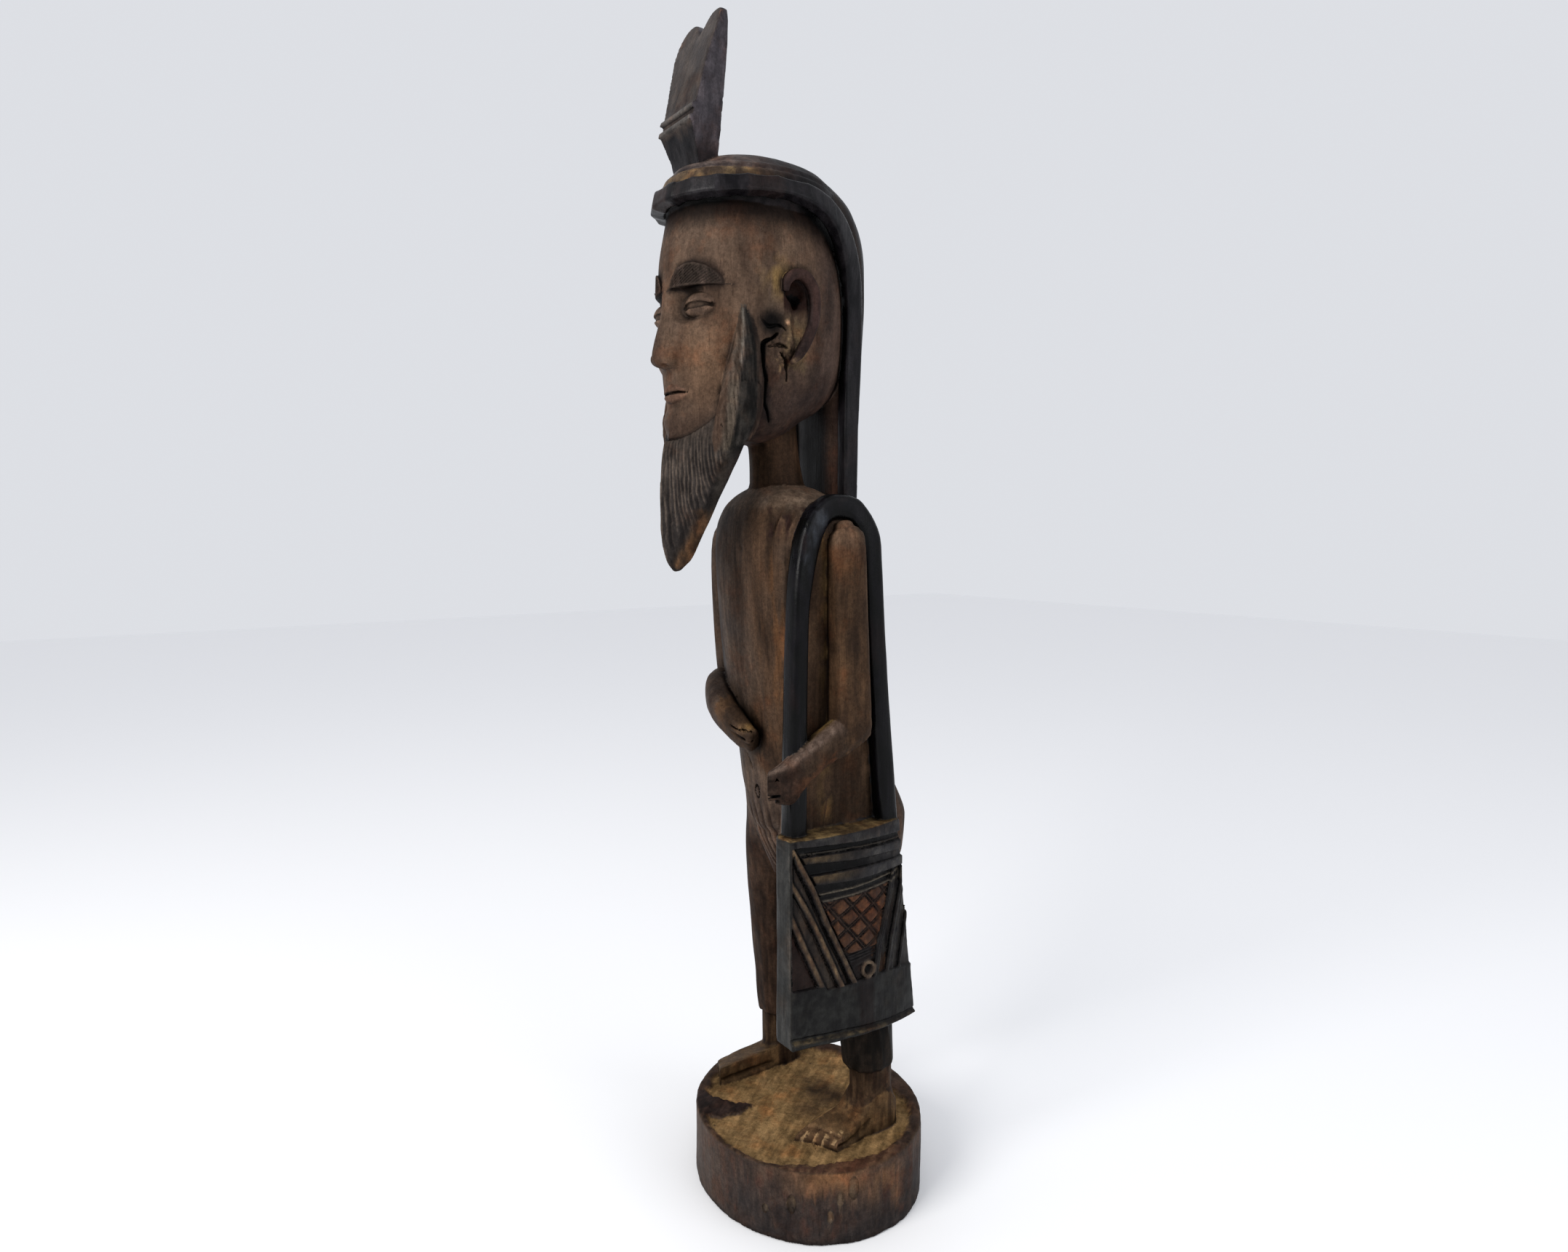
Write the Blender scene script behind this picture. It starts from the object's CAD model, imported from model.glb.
import math
import time

import bpy
import numpy as np
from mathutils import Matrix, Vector


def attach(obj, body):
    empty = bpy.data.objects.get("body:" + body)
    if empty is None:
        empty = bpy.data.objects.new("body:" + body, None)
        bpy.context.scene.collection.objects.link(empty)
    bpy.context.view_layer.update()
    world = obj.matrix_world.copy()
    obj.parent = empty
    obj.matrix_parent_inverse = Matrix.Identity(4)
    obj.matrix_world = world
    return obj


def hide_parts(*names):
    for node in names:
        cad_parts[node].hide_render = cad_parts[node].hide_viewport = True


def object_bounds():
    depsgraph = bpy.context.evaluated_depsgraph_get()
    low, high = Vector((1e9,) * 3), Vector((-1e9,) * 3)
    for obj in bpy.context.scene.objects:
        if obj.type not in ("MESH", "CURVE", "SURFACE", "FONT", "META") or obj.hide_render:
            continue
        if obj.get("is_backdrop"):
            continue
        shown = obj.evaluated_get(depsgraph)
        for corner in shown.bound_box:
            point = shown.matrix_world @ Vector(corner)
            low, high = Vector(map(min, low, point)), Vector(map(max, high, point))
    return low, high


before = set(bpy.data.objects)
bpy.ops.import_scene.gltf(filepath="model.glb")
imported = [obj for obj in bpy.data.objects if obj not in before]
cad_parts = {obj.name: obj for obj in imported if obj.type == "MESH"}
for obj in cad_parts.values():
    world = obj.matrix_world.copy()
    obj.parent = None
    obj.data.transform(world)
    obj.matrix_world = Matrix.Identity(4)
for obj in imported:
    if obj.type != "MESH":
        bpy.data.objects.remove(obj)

T0 = time.time()
CAD_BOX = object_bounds()
STEP = 1.15          # sampling of the surface, mm
TARGET = 196000    # triangles of the finished piece

# ---------------------------------------------------------------- driving sizes, mm
BASE_RX, BASE_RY, BASE_H = 74.6, 67.4, 44.0
MID = -6.5
HEM_Z, CROTCH_Z, SHOULDER_Z, JAW_Z = 78.0, 196.0, 423.0, 448.0
BRIM_Z0, BRIM_Z1, CAP_TOP_Z, CREST_TOP_Z = 566.0, 581.0, 602.5, 672.0
BAG_Z0, BAG_Z1, BAG_X = 113.0, 231.0, 50.0
STRAP_W, STRAP_T = 14.0, 9.0


# ---------------------------------------------------------------- noise
def _hash(i, j, k, s):
    n = (i * 374761393 + j * 668265263 + k * 1274126177 + s * 974634533) & 0xFFFFFFFF
    n = ((n ^ (n >> 13)) * 1274126177) & 0xFFFFFFFF
    return ((n ^ (n >> 16)) & 0xFFFF) / 32767.5 - 1.0


def noise(x, y, z, s=0):
    """Smooth noise from -1 to 1, one cell per unit."""
    x, y, z = np.broadcast_arrays(x, y, z)
    xi, yi, zi = (np.floor(v).astype(np.int64) for v in (x, y, z))
    u, v, w = x - xi, y - yi, z - zi
    u, v, w = (t * t * (3 - 2 * t) for t in (u, v, w))
    out = 0.0
    for a in (0, 1):
        for b in (0, 1):
            for c in (0, 1):
                out = out + _hash(xi + a, yi + b, zi + c, s) * (u if a else 1 - u) * (v if b else 1 - v) * (w if c else 1 - w)
    return out


def fbm(x, y, z, s=0, octaves=3):
    out, amp, f = 0.0, 1.0, 1.0
    for o in range(octaves):
        out = out + amp * noise(x * f, y * f, z * f, s + 17 * o)
        amp *= 0.5
        f *= 2.03
    return out / 1.75


def smooth01(a, b, t):
    t = np.clip((t - a) / (b - a), 0, 1)
    return t * t * (3 - 2 * t)


def smin(a, b, k):
    h = np.maximum(k - np.abs(a - b), 0) / k
    return np.minimum(a, b) - h * h * k * 0.25


def smax(a, b, k):
    return -smin(-a, -b, k)


# ---------------------------------------------------------------- rows to tables
def table(rows, step=0.5, linear=False):
    """Rows [key, values...] to an evenly spaced table, smoothly and without overshoot."""
    r = np.asarray(rows, float)
    z, h = r[:, 0], np.diff(r[:, 0])
    n = int(math.ceil((z[-1] - z[0]) / step)) + 1
    zz = np.linspace(z[0], z[-1], n)
    k = np.clip(np.searchsorted(z, zz, side="right") - 1, 0, len(z) - 2)
    t = (zz - z[k]) / h[k]
    out = np.empty((n, r.shape[1] - 1))
    for c in range(1, r.shape[1]):
        v = r[:, c]
        if linear:
            out[:, c - 1] = np.interp(zz, z, v)
            continue
        d = np.diff(v) / h
        m = np.zeros(len(v))
        m[0], m[-1] = d[0], d[-1]
        for i in range(1, len(v) - 1):
            if d[i - 1] * d[i] > 0:
                w1, w2 = 2 * h[i] + h[i - 1], h[i] + 2 * h[i - 1]
                m[i] = (w1 + w2) / (w1 / d[i - 1] + w2 / d[i])
        t2, t3 = t * t, t * t * t
        out[:, c - 1] = (2 * t3 - 3 * t2 + 1) * v[k] + (t3 - 2 * t2 + t) * h[k] * m[k] \
            + (3 * t2 - 2 * t3) * v[k + 1] + (t3 - t2) * h[k] * m[k + 1]
    return z[0], (z[-1] - z[0]) / (n - 1), out


def lookup(tab, z):
    z0, step, o = tab
    f = np.clip((z - z0) / step, 0, len(o) - 1.001)
    i = f.astype(np.int64)
    t = (f - i)[..., None]
    v = o[i] * (1 - t) + o[i + 1] * t
    return [v[..., c] for c in range(o.shape[1])]


def refine(rows, per):
    rows = [np.asarray(r, float) for r in rows]
    out, m = [], len(rows)
    for i in range(m - 1):
        p0, p1, p2, p3 = rows[max(0, i - 1)], rows[i], rows[i + 1], rows[min(m - 1, i + 2)]
        for k in range(per):
            t = k / per
            out.append(0.5 * (2 * p1 + (p2 - p0) * t + (2 * p0 - 5 * p1 + 4 * p2 - p3) * t * t
                              + (3 * p1 - p0 - 3 * p2 + p3) * t ** 3))
    out.append(rows[-1])
    return np.array(out)


# ---------------------------------------------------------------- solids as distance functions
class Solid:
    def __init__(self, f, lo, hi):
        self.f, self.lo, self.hi = f, np.array(lo, float), np.array(hi, float)


def column(rows, rnd=1.2, linear=False, step=0.5):
    """Upright loft from rows [z, cx, cy, a, b, n]."""
    tab = table(rows, step, linear)
    r = np.asarray(rows, float)
    z0, z1 = r[0, 0], r[-1, 0]

    def f(x, y, z):
        cx, cy, a, b, n = lookup(tab, z)
        dx, dy = np.abs(x - cx) + 1e-3, np.abs(y - cy) + 1e-3
        k = ((dx / a) ** n + (dy / b) ** n) ** (1 / n)
        q = np.sqrt(dx * dx + dy * dy)
        return smax(q - q / k, np.maximum(z0 - z, z - z1), rnd)
    return Solid(f, [(r[:, 1] - r[:, 3]).min(), (r[:, 2] - r[:, 4]).min(), z0],
                 [(r[:, 1] + r[:, 3]).max(), (r[:, 2] + r[:, 4]).max(), z1])


def body(rows, rnd=1.2, linear=False, step=0.5):
    """Upright loft from rows [z, cx, yFront, yBack, halfWidth, n]."""
    return column([[z, cx, (y0 + y1) / 2, a, (y1 - y0) / 2, n] for z, cx, y0, y1, a, n in rows], rnd, linear, step)


def limb(rows, side, per=4, sides=None):
    """Limb along a path: rows [x, y, z, halfWidth, halfThickness, n]; side is the direction of the thickness."""
    r = refine(rows, per)
    m = len(r)
    sd = refine(sides, per) if sides is not None else np.repeat(np.array([side], float), m, 0)
    t = np.array([r[min(m - 1, i + 1), :3] - r[max(0, i - 1), :3] for i in range(m)])
    t /= np.linalg.norm(t, axis=1, keepdims=True)
    s = sd - t * (sd * t).sum(1, keepdims=True)
    s /= np.linalg.norm(s, axis=1, keepdims=True)
    w = np.cross(t, s)
    a, ab = r[:-1, :3], np.diff(r[:, :3], axis=0)
    l2 = (ab ** 2).sum(1)
    par = np.hstack([t, s, w, r[:, 3:6]])

    def f(x, y, z):
        shape = x.shape
        p = np.stack([x.ravel(), y.ravel(), z.ravel()], 1)
        best = np.full(len(p), 1e9)
        bi = np.zeros(len(p), np.int64)
        bt = np.zeros(len(p))
        for i in range(m - 1):
            q = p - a[i]
            u = np.clip(q @ ab[i] / l2[i], 0, 1)
            q = q - u[:, None] * ab[i]
            d2 = np.einsum("ij,ij->i", q, q)
            k = d2 < best
            best[k], bi[k], bt[k] = d2[k], i, u[k]
        v = par[bi] * (1 - bt[:, None]) + par[bi + 1] * bt[:, None]
        q = p - a[bi] - bt[:, None] * ab[bi]
        dw = np.abs(np.einsum("ij,ij->i", q, v[:, 6:9])) + 1e-3
        ds = np.abs(np.einsum("ij,ij->i", q, v[:, 3:6])) + 1e-3
        dt = np.abs(np.einsum("ij,ij->i", q, v[:, 0:3]))
        hw, ht, n = np.maximum(v[:, 9], 0.3), np.maximum(v[:, 10], 0.3), v[:, 11]
        e = np.minimum(hw, ht) * 0.9
        k = ((dw / hw) ** n + (ds / ht) ** n + (dt / e) ** n) ** (1 / n)
        l = np.sqrt(dw * dw + ds * ds + dt * dt)
        return (l - l / k).reshape(shape)
    g = r[:, 3:5].max()
    return Solid(f, r[:, :3].min(0) - g, r[:, :3].max(0) + g)


def ellipsoid(c, rad, tilt=0.0):
    """Ellipsoid; tilt turns it about X, degrees."""
    c, rad = np.array(c, float), np.array(rad, float)
    co, si = math.cos(math.radians(tilt)), math.sin(math.radians(tilt))

    def f(x, y, z):
        dx, dy, dz = x - c[0], y - c[1], z - c[2]
        dy, dz = co * dy + si * dz, -si * dy + co * dz
        k0 = np.sqrt((dx / rad[0]) ** 2 + (dy / rad[1]) ** 2 + (dz / rad[2]) ** 2) + 1e-6
        k1 = np.sqrt((dx / rad[0] ** 2) ** 2 + (dy / rad[1] ** 2) ** 2 + (dz / rad[2] ** 2) ** 2) + 1e-9
        return k0 * (k0 - 1) / k1
    g = rad.max() if tilt else rad
    return Solid(f, c - g, c + g)


OPS = []


def add(name, s, k=1.0):
    OPS.append(("add", name, s, k))


def cut(s, k=1.0, fine=False):
    OPS.append(("fine" if fine else "cut", None, s, k))


def run_ops(x, y, z, fine):
    """Distance at flat arrays of points."""
    F = np.full(x.shape, 12.0)
    for kind, name, s, k in OPS:
        if kind == "fine" and not fine:
            continue
        g = k + 4.0
        m = np.nonzero((x > s.lo[0] - g) & (x < s.hi[0] + g) & (y > s.lo[1] - g) & (y < s.hi[1] + g)
                       & (z > s.lo[2] - g) & (z < s.hi[2] + g))[0]
        if not len(m):
            continue
        d = s.f(x[m], y[m], z[m])
        F[m] = smin(F[m], d, k) if kind == "add" else smax(F[m], -d, k)
    return F


FINE = [False]     # whether the finest carving is in the distance functions


# ---------------------------------------------------------------- base and feet
def axe_marks(x, y):
    """Rough, mostly crosswise tool marks on the hollowed top of the base, mm."""
    u, v = 0.82 * x + 0.57 * y, -0.57 * x + 0.82 * y
    a = noise(u / 3.2, v / 13.0, 0.0, 5) * 0.34 + noise(u / 1.7, v / 7.0, 0.0, 6) * 0.16
    u, v = 0.35 * x - 0.94 * y, 0.94 * x + 0.35 * y
    return a + noise(u / 4.6, v / 17.0, 0.0, 9) * 0.26


def rim_keep(x, y):
    """1 where the base's top was left at rim height: the rim itself, and a ragged tongue at the front right."""
    r = np.sqrt((x / BASE_RX) ** 2 + (y / BASE_RY) ** 2) + 1e-6
    e = np.sqrt(x * x + y * y) / r * (1 - r)
    rag = 2.2 * fbm(x / 7.0, y / 7.0, 0.0, 3) + 1.3 * noise(x / 2.1, y / 2.1, 0.0, 4)
    w = np.interp(np.degrees(np.arctan2(y, x)), RIM_W[0], RIM_W[1])
    rim = 1 - smooth01(-1.6, 2.2, e - w - rag * np.clip(w / 7.0, 0.4, 1))
    return np.maximum(rim, tongue(x, y))


# width of the old rim round the base, by the angle in degrees from +X
RIM_W = ([-180, -140, -118, -100, -62, -50, -38, -20, 0, 25, 50, 75, 110, 145, 180], [7, 7, 5, 2.6, 2.4, 3.5, 7.5, 9.5, 8.5, 6, 8, 13, 11, 8, 7])
TONGUE = [(-50, -58, 9), (-35, -55.5, 9.5), (-25, -51, 10), (-18.5, -42.5, 5.5), (-16.5, -35.0, 3.2)]


def tongue(x, y):
    """1 on the ragged tongue of the old surface at the front right."""
    d = np.full(np.shape(x), 99.0)
    for (ax, ay, ar), (bx, by, br) in zip(TONGUE[:-1], TONGUE[1:]):
        t = np.clip(((x - ax) * (bx - ax) + (y - ay) * (by - ay)) / ((bx - ax) ** 2 + (by - ay) ** 2), 0, 1)
        d = np.minimum(d, np.hypot(x - ax - t * (bx - ax), y - ay - t * (by - ay)) - ar - t * (br - ar))
    return 1 - smooth01(-0.9, 0.9, d - 2.6 * fbm(x / 4.4, y / 4.4, 0.0, 13) - 1.0 * noise(x / 1.3, y / 1.3, 0.0, 14))


def f_base(x, y, z):
    r = np.sqrt((x / BASE_RX) ** 2 + (y / BASE_RY) ** 2) + 1e-6
    rr = np.sqrt(x * x + y * y)
    th = np.arctan2(y, x)
    s = rr - rr / r
    s = s - 0.35 * noise(th * 5.0, z / 22.0, 0.0, 11) - 0.16 * noise(th * 19.0, z / 30.0, 0.0, 12)
    keep = rim_keep(x, y)
    top = BASE_H - 0.5 - 2.1 * (1 - keep) + axe_marks(x, y) * (0.25 + 0.75 * (1 - keep))
    return smax(smax(s, z - top, 2.6), -z, 0.8)


add("base", Solid(f_base, [-BASE_RX, -BASE_RY, 0], [BASE_RX, BASE_RY, BASE_H + 1.5]), 0.5)


def foot(cx, rows, slant, rnd=2.2, toes=0.0, tip=0.0):
    """Foot with the heel at +Y; rows of [y, halfWidth, top], from the toes to the heel; tip lowers the outer edge."""
    tab = table(rows, 0.5)
    y0, y1 = rows[0][0], rows[-1][0]

    def f(x, y, z):
        hw, top = lookup(tab, y)
        dx = x - cx
        yy = y - slant * (dx / hw) * np.maximum(0, -y) / 28.0
        hw, top = lookup(tab, yy)
        top = top + tip * np.clip(dx, -hw, hw)
        if toes:
            front = 1 - smooth01(y0 + 7.0, y0 + 10.0, yy)
            for q, w in ((-0.68, 0.30), (-0.30, 0.34), (0.12, 0.34), (0.52, 0.34), (0.84, 0.26)):
                top = top - toes * ridge(dx / hw * 11.4 - q * 11.4 + 0.12 * (yy - y0), w, 0.3) * front
            top = top - 0.8 * ridge(yy - y0 - 6.6, 0.5, 0.6) * smooth01(-0.9, -0.6, dx / hw)
        return smax(smax(np.abs(dx) - hw, z - top, rnd), np.maximum(y0 - yy, yy - y1), 1.2)
    return Solid(f, [cx - 13, y0 - 12, BASE_H - 6], [cx + 13, y1 + 6, max(r[2] for r in rows) + 4])


def ridge(d, w, soft=0.5):
    return 1 - smooth01(w - soft, w + soft, np.abs(d))


LEFT_FOOT = [[-21.6, 11.4, 43.2], [-20.6, 11.5, 44.6], [-14.6, 11.6, 48.2], [-8, 11.2, 50.0], [2, 10.8, 54], [8, 10.6, 59], [18, 11, 64], [29, 9.5, 58], [32, 7, 50]]
RIGHT_FOOT = [[-30.5, 8.4, 50.6], [-26, 9.6, 51], [-12, 10.8, 51.8], [4, 10.8, 52.6], [17, 11, 53], [27, 9.5, 51.5], [31, 6, 50]]
add("foot", foot(39.4, LEFT_FOOT, 8.5, 1.0, 0.45), 1.0)
add("foot", foot(-55, RIGHT_FOOT, -4.0, 1.4, 0.0, 0.28), 1.0)
# the wood between the left foot and the middle of the base is left standing
add("base", ellipsoid([27.0, 6.0, 42.0], [9.0, 21.0, 5.5]), 6.0)
# groove along the left foot's outer edge, and the notch under the right foot's inner side
cut(limb([[51.5, -15, 44.0, 1.4, 1.4, 2], [50.9, -8, 44.0, 1.6, 1.9, 2], [50.7, 2, 47.0, 1.6, 2.6, 2], [50.4, 9, 53.0, 1.2, 1.6, 2]], [0, 0, 1]), 0.8)
cut(limb([[-44.5, -38, 44.2, 2.4, 1.8, 2], [-43.8, -30, 44.8, 2.8, 2.4, 2], [-43.6, -14, 45.4, 2.2, 2.2, 2], [-43.6, 4, 45.4, 1.6, 1.8, 2]], [0, 0, 1]), 0.8)

# ---------------------------------------------------------------- legs
LEGS_K = 3.0
add("ankle", column([[43, 39, 18.4, 10.8, 13.2, 2.3], [60, 39, 18.6, 10.4, 13.0, 2.4], [84, 38.6, 18.6, 10.8, 13.0, 2.4]]), 8.0)
add("ankle", column([[43, -53, 16.5, 11, 12, 2.2], [60, -53, 15.5, 10, 10.8, 2.2], [82, -52.6, 15, 10.4, 10.8, 2.2]]), 4.0)


def facets(s, n, amount, seed=0, mid=(0, 0), length=18.0):
    """Knife facets round an upright solid: flats about `n` to a turn, a little uneven."""
    g = s.f

    def f(x, y, z):
        th = np.arctan2(y - mid[1], x - mid[0]) / (2 * math.pi) * n + 0.35 * noise(z / length, 0.0, 0.0, seed)
        w = np.abs((th % 1.0) - 0.5) * 2
        return g(x, y, z) + amount * (0.5 - w * w) * 0.8 + 0.3 * amount * noise(th, z / length, 0.0, seed + 1)
    return Solid(f, s.lo, s.hi)


LEFT_LEG = [[79.8, 38.4, 17.4, 12.1, 14.6, 2.5], [81.8, 38.4, 17.2, 12.8, 15.3, 2.5], [113, 37.5, 15, 13.4, 16, 2.3],
            [150, 35.6, 12, 15, 17.6, 2.3], [190, 31, 10, 17.5, 22, 2.3], [212, 24, 8, 19, 25, 2.3], [240, 17, 6, 16, 26, 2.3], [262, 13, 2, 11, 20, 2.3]]
RIGHT_LEG = [[78, -52, 14.8, 11.5, 12.4, 2.5], [80, -52, 14.6, 12.2, 13, 2.5], [113, -51, 13, 13.4, 15, 2.3],
             [150, -49, 11, 15, 17.6, 2.3], [190, -43, 8.5, 17.5, 22, 2.3], [212, -36.5, 8, 19, 25, 2.3], [240, -30, 6, 16, 26, 2.3], [262, -26, 2, 11, 20, 2.3]]
add("leg", facets(column(LEFT_LEG, 1.4), 11, 0.7, 21, (38, 15), 40.0), 1.0)
add("leg", facets(column(RIGHT_LEG, 1.4), 10, 0.55, 23, (-52, 14), 50.0), 1.0)

# ---------------------------------------------------------------- trunk
add("trunk", body([
    [188, MID, -2, 34, 24, 2.2], [196, MID, -10, 43, 36, 2.3], [216, MID, -21, 49.5, 42, 2.4], [234, MID, -27, 47, 41, 2.5],
    [256, MID, -32.5, 40.5, 38.5, 2.5], [282, MID, -36.5, 35, 38.8, 2.7], [315, MID, -41, 31, 41.5, 2.9],
    [352, MID, -44, 28.5, 43.5, 3.1], [382, MID, -45.5, 25, 45, 3.1], [400, MID, -45, 20, 44.5, 2.9],
    [411, MID, -42.5, 14, 40, 2.7], [419, MID, -38, 6, 31, 2.4], [424, MID, -33, 0, 20, 2.2]], 3.0), 9.0)
add("apron", body([[192, MID, -20, -6, 3, 2], [200, MID, -22.5, -2, 9, 2.2], [215, MID, -27, 4, 17, 2.4], [235, MID, -31.5, 8, 25, 2.5],
                   [256, MID, -33.6, 10, 31, 2.5], [280, MID, -35.6, 10, 29, 2.5], [304, MID, -36, 10, 24, 2.5]]), 3.0)
for bx in (16.5, -29.5):
    add("trunk", column([[186, bx, 26, 9, 10, 2], [192, bx, 30, 16, 17, 2], [205, bx, 33.5, 20.5, 21.5, 2.1], [224, bx, 34.5, 21, 22.5, 2.1],
                         [242, bx, 31, 18.5, 20, 2], [258, bx, 23, 12, 13, 2]], 4.0), 5.0)
add("pad", body([[224, 29, -40, 34, 8, 3.4], [262, 29, -38, 31, 7.5, 3.4], [310, 29, -37, 26, 7.5, 3.4], [352, 29, -36, 22, 7.5, 3.4],
                 [386, 28, -30, 17, 7.5, 3], [400, 27, -22, 10, 7, 2.6]], 2.0), 2.0)
add("pad", body([[296, 2 * MID - 29, -27, 12, 6, 3], [322, 2 * MID - 29, -32, 16, 8, 3.2], [352, 2 * MID - 29, -34, 16, 8.4, 3.2],
                 [386, 2 * MID - 29, -32, 10, 8.4, 3], [400, 2 * MID - 28.4, -26, 4, 7, 2.6]], 2.0), 5.0)
add("neck", column([[408, MID, -16.5, 19, 19, 2], [422, MID, -18, 16, 16.4, 2], [446, MID, -21, 14.2, 14.6, 2], [480, MID, -26, 14.5, 16, 2]]), 3.0)


# ---------------------------------------------------------------- head
SKULL = [[JAW_Z, MID, -72, -32, 15, 2.1], [453, MID, -80.5, -20, 23.5, 2.15], [460, MID, -85, -10, 28.5, 2.2], [467, MID, -86.5, 3, 31, 2.2],
         [476, MID, -88, 12.5, 34, 2.25], [485, MID, -88.8, 17.8, 35.6, 2.25], [494, MID, -89.5, 19.5, 37, 2.25], [516, MID, -90, 19.5, 39.6, 2.25],
         [540, MID, -89.5, 17.5, 40.6, 2.2], [562, MID, -86, 12.5, 38.8, 2.15], [580, MID, -82, 6, 35, 2.1]]
add("skull", body(SKULL, 3.0), 2.5)
FACE_H = BRIM_Z0 - JAW_Z
BROW_Z, EYE_Z = BRIM_Z0 - FACE_H * 0.34, BRIM_Z0 - FACE_H * 0.42
NOSE_Z, MOUTH_Z = BRIM_Z0 - FACE_H * 0.66, BRIM_Z0 - FACE_H * 0.79


def face_y(x, z):
    """Front of the plain skull at x from the middle and height z."""
    _, y0, y1, a, n = lookup(SKULL_TAB, np.asarray(z, float))
    u = np.clip(np.abs(x) / a, 0, 0.999)
    return (y0 + y1) / 2 - (y1 - y0) / 2 * (1 - u ** n) ** (1 / n)


SKULL_TAB = table(SKULL)
EYE_X, EYE_W = 17.5, 11.0
for sx in (-1, 1):
    ex = MID + sx * EYE_X
    ey = float(face_y(EYE_X, EYE_Z))
    cut(ellipsoid([ex - sx * 0.6, ey - 2.2, EYE_Z + 1.0], [14.0, 7.8, 9.4]), 4.0)          # socket
    add("eye", ellipsoid([ex, ey + 6.3, EYE_Z], [EYE_W - 1.2, 6.0, 6.2]), 0.6)              # ball


def lid(sx, upper):
    ex, ey = MID + sx * EYE_X, float(face_y(EYE_X, EYE_Z))
    e = ellipsoid([ex, ey + 6.3, EYE_Z], [EYE_W, 7.1, 7.3])

    def f(x, y, z):
        t = np.clip((x - ex) / EYE_W, -1, 1)
        bow = np.sqrt(np.maximum(0, 1 - t * t))
        # calm half-closed eye: the upper lid comes down to just above the lower one
        edge = EYE_Z - 0.4 + 1.5 * bow if upper else EYE_Z - 1.2 - 1.0 * bow
        p = edge - z if upper else z - edge
        return smax(e.f(x, y, z), p, 0.5)
    return Solid(f, e.lo, e.hi)


for sx in (-1, 1):
    add("lid", lid(sx, True), 0.5)
    add("lid", lid(sx, False), 0.5)

# nose: a straight bridge widening to two wings, with shallow nostrils
NOSE = [[NOSE_Z - 3.0, 3.2, -90.0], [NOSE_Z - 1.0, 5.6, -96.4], [NOSE_Z + 3.5, 6.6, -98.6], [NOSE_Z + 10, 5.6, -97.4], [NOSE_Z + 20, 4.7, -94.6],
        [EYE_Z, 4.4, -92.4], [BROW_Z - 2, 5.2, -91.4], [BROW_Z + 5, 6.5, -89.6]]
NOSE_TAB = table(NOSE)


def f_nose(x, y, z):
    w, yf = lookup(NOSE_TAB, z)
    u = np.abs(x - MID)
    front = yf + 0.085 * u * u                      # rounded ridge
    side = u - w - np.maximum(0, y - yf) * 0.42
    d = smax(front - y, side * 0.9, 2.4)
    return smax(smax(d, y + 78.0, 1.0), np.maximum(NOSE_Z - 3.0 - z, z - (BROW_Z + 5)), 1.8)


add("nose", Solid(f_nose, [MID - 14, -100, NOSE_Z - 3], [MID + 14, -78, BROW_Z + 5]), 3.4)
for sx in (-1, 1):
    add("nose", ellipsoid([MID + sx * 6.6, -91.6, NOSE_Z + 2.6], [3.6, 4.8, 4.0]), 2.2)
    cut(ellipsoid([MID + sx * 3.7, -93.6, NOSE_Z - 2.6], [1.7, 2.6, 2.0]), 0.8)
# lips: full, closed and level, with a soft groove above them
cut(ellipsoid([MID, -92.6, MOUTH_Z + 8.6], [2.4, 3.4, 4.2]), 1.6)
LIP_Y = float(face_y(0.0, MOUTH_Z))


def f_lip(upper):
    def f(x, y, z):
        u = np.abs(x - MID)
        if upper:
            zc = MOUTH_Z + 2.0 + 0.5 * np.cos(u * 0.9) - 0.006 * u * u
            h = 2.9 * np.sqrt(np.maximum(0.02, 1 - (u / 12.6) ** 2))
        else:
            zc = MOUTH_Z - 2.4 + 0.007 * u * u
            h = 3.2 * np.sqrt(np.maximum(0.02, 1 - (u / 11.4) ** 2))
        yc = LIP_Y + 1.5 + 0.032 * u * u
        dep = 4.0 if upper else 3.8
        k = np.sqrt(((z - zc) / h) ** 2 + ((y - yc) / dep) ** 2) + 1e-6
        l = np.sqrt((z - zc) ** 2 + (y - yc) ** 2)
        return smax(l - l / k, u - 12.2, 1.0)
    return Solid(f, [MID - 13, LIP_Y - 4, MOUTH_Z - 7], [MID + 13, LIP_Y + 12, MOUTH_Z + 7])


add("lip", f_lip(True), 1.0)
add("lip", f_lip(False), 1.0)
cut(limb([[MID - 11.6, LIP_Y + 4.4, MOUTH_Z - 0.4, 0.45, 1.2, 2], [MID - 6, LIP_Y - 0.4, MOUTH_Z - 0.15, 0.6, 1.6, 2], [MID, LIP_Y - 2.0, MOUTH_Z - 0.5, 0.6, 1.6, 2],
          [MID + 6, LIP_Y - 0.4, MOUTH_Z - 0.15, 0.6, 1.6, 2], [MID + 11.6, LIP_Y + 4.4, MOUTH_Z - 0.4, 0.45, 1.2, 2]], [0, -1, 0]), 0.5)
# chin and cheeks
add("skull", ellipsoid([MID, -80.0, 457.5], [15.0, 9.5, 9.0]), 5.0)
for sx in (-1, 1):
    add("skull", ellipsoid([MID + sx * 21, -75.0, 497], [10.0, 9.0, 12.0]), 6.0)


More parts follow.
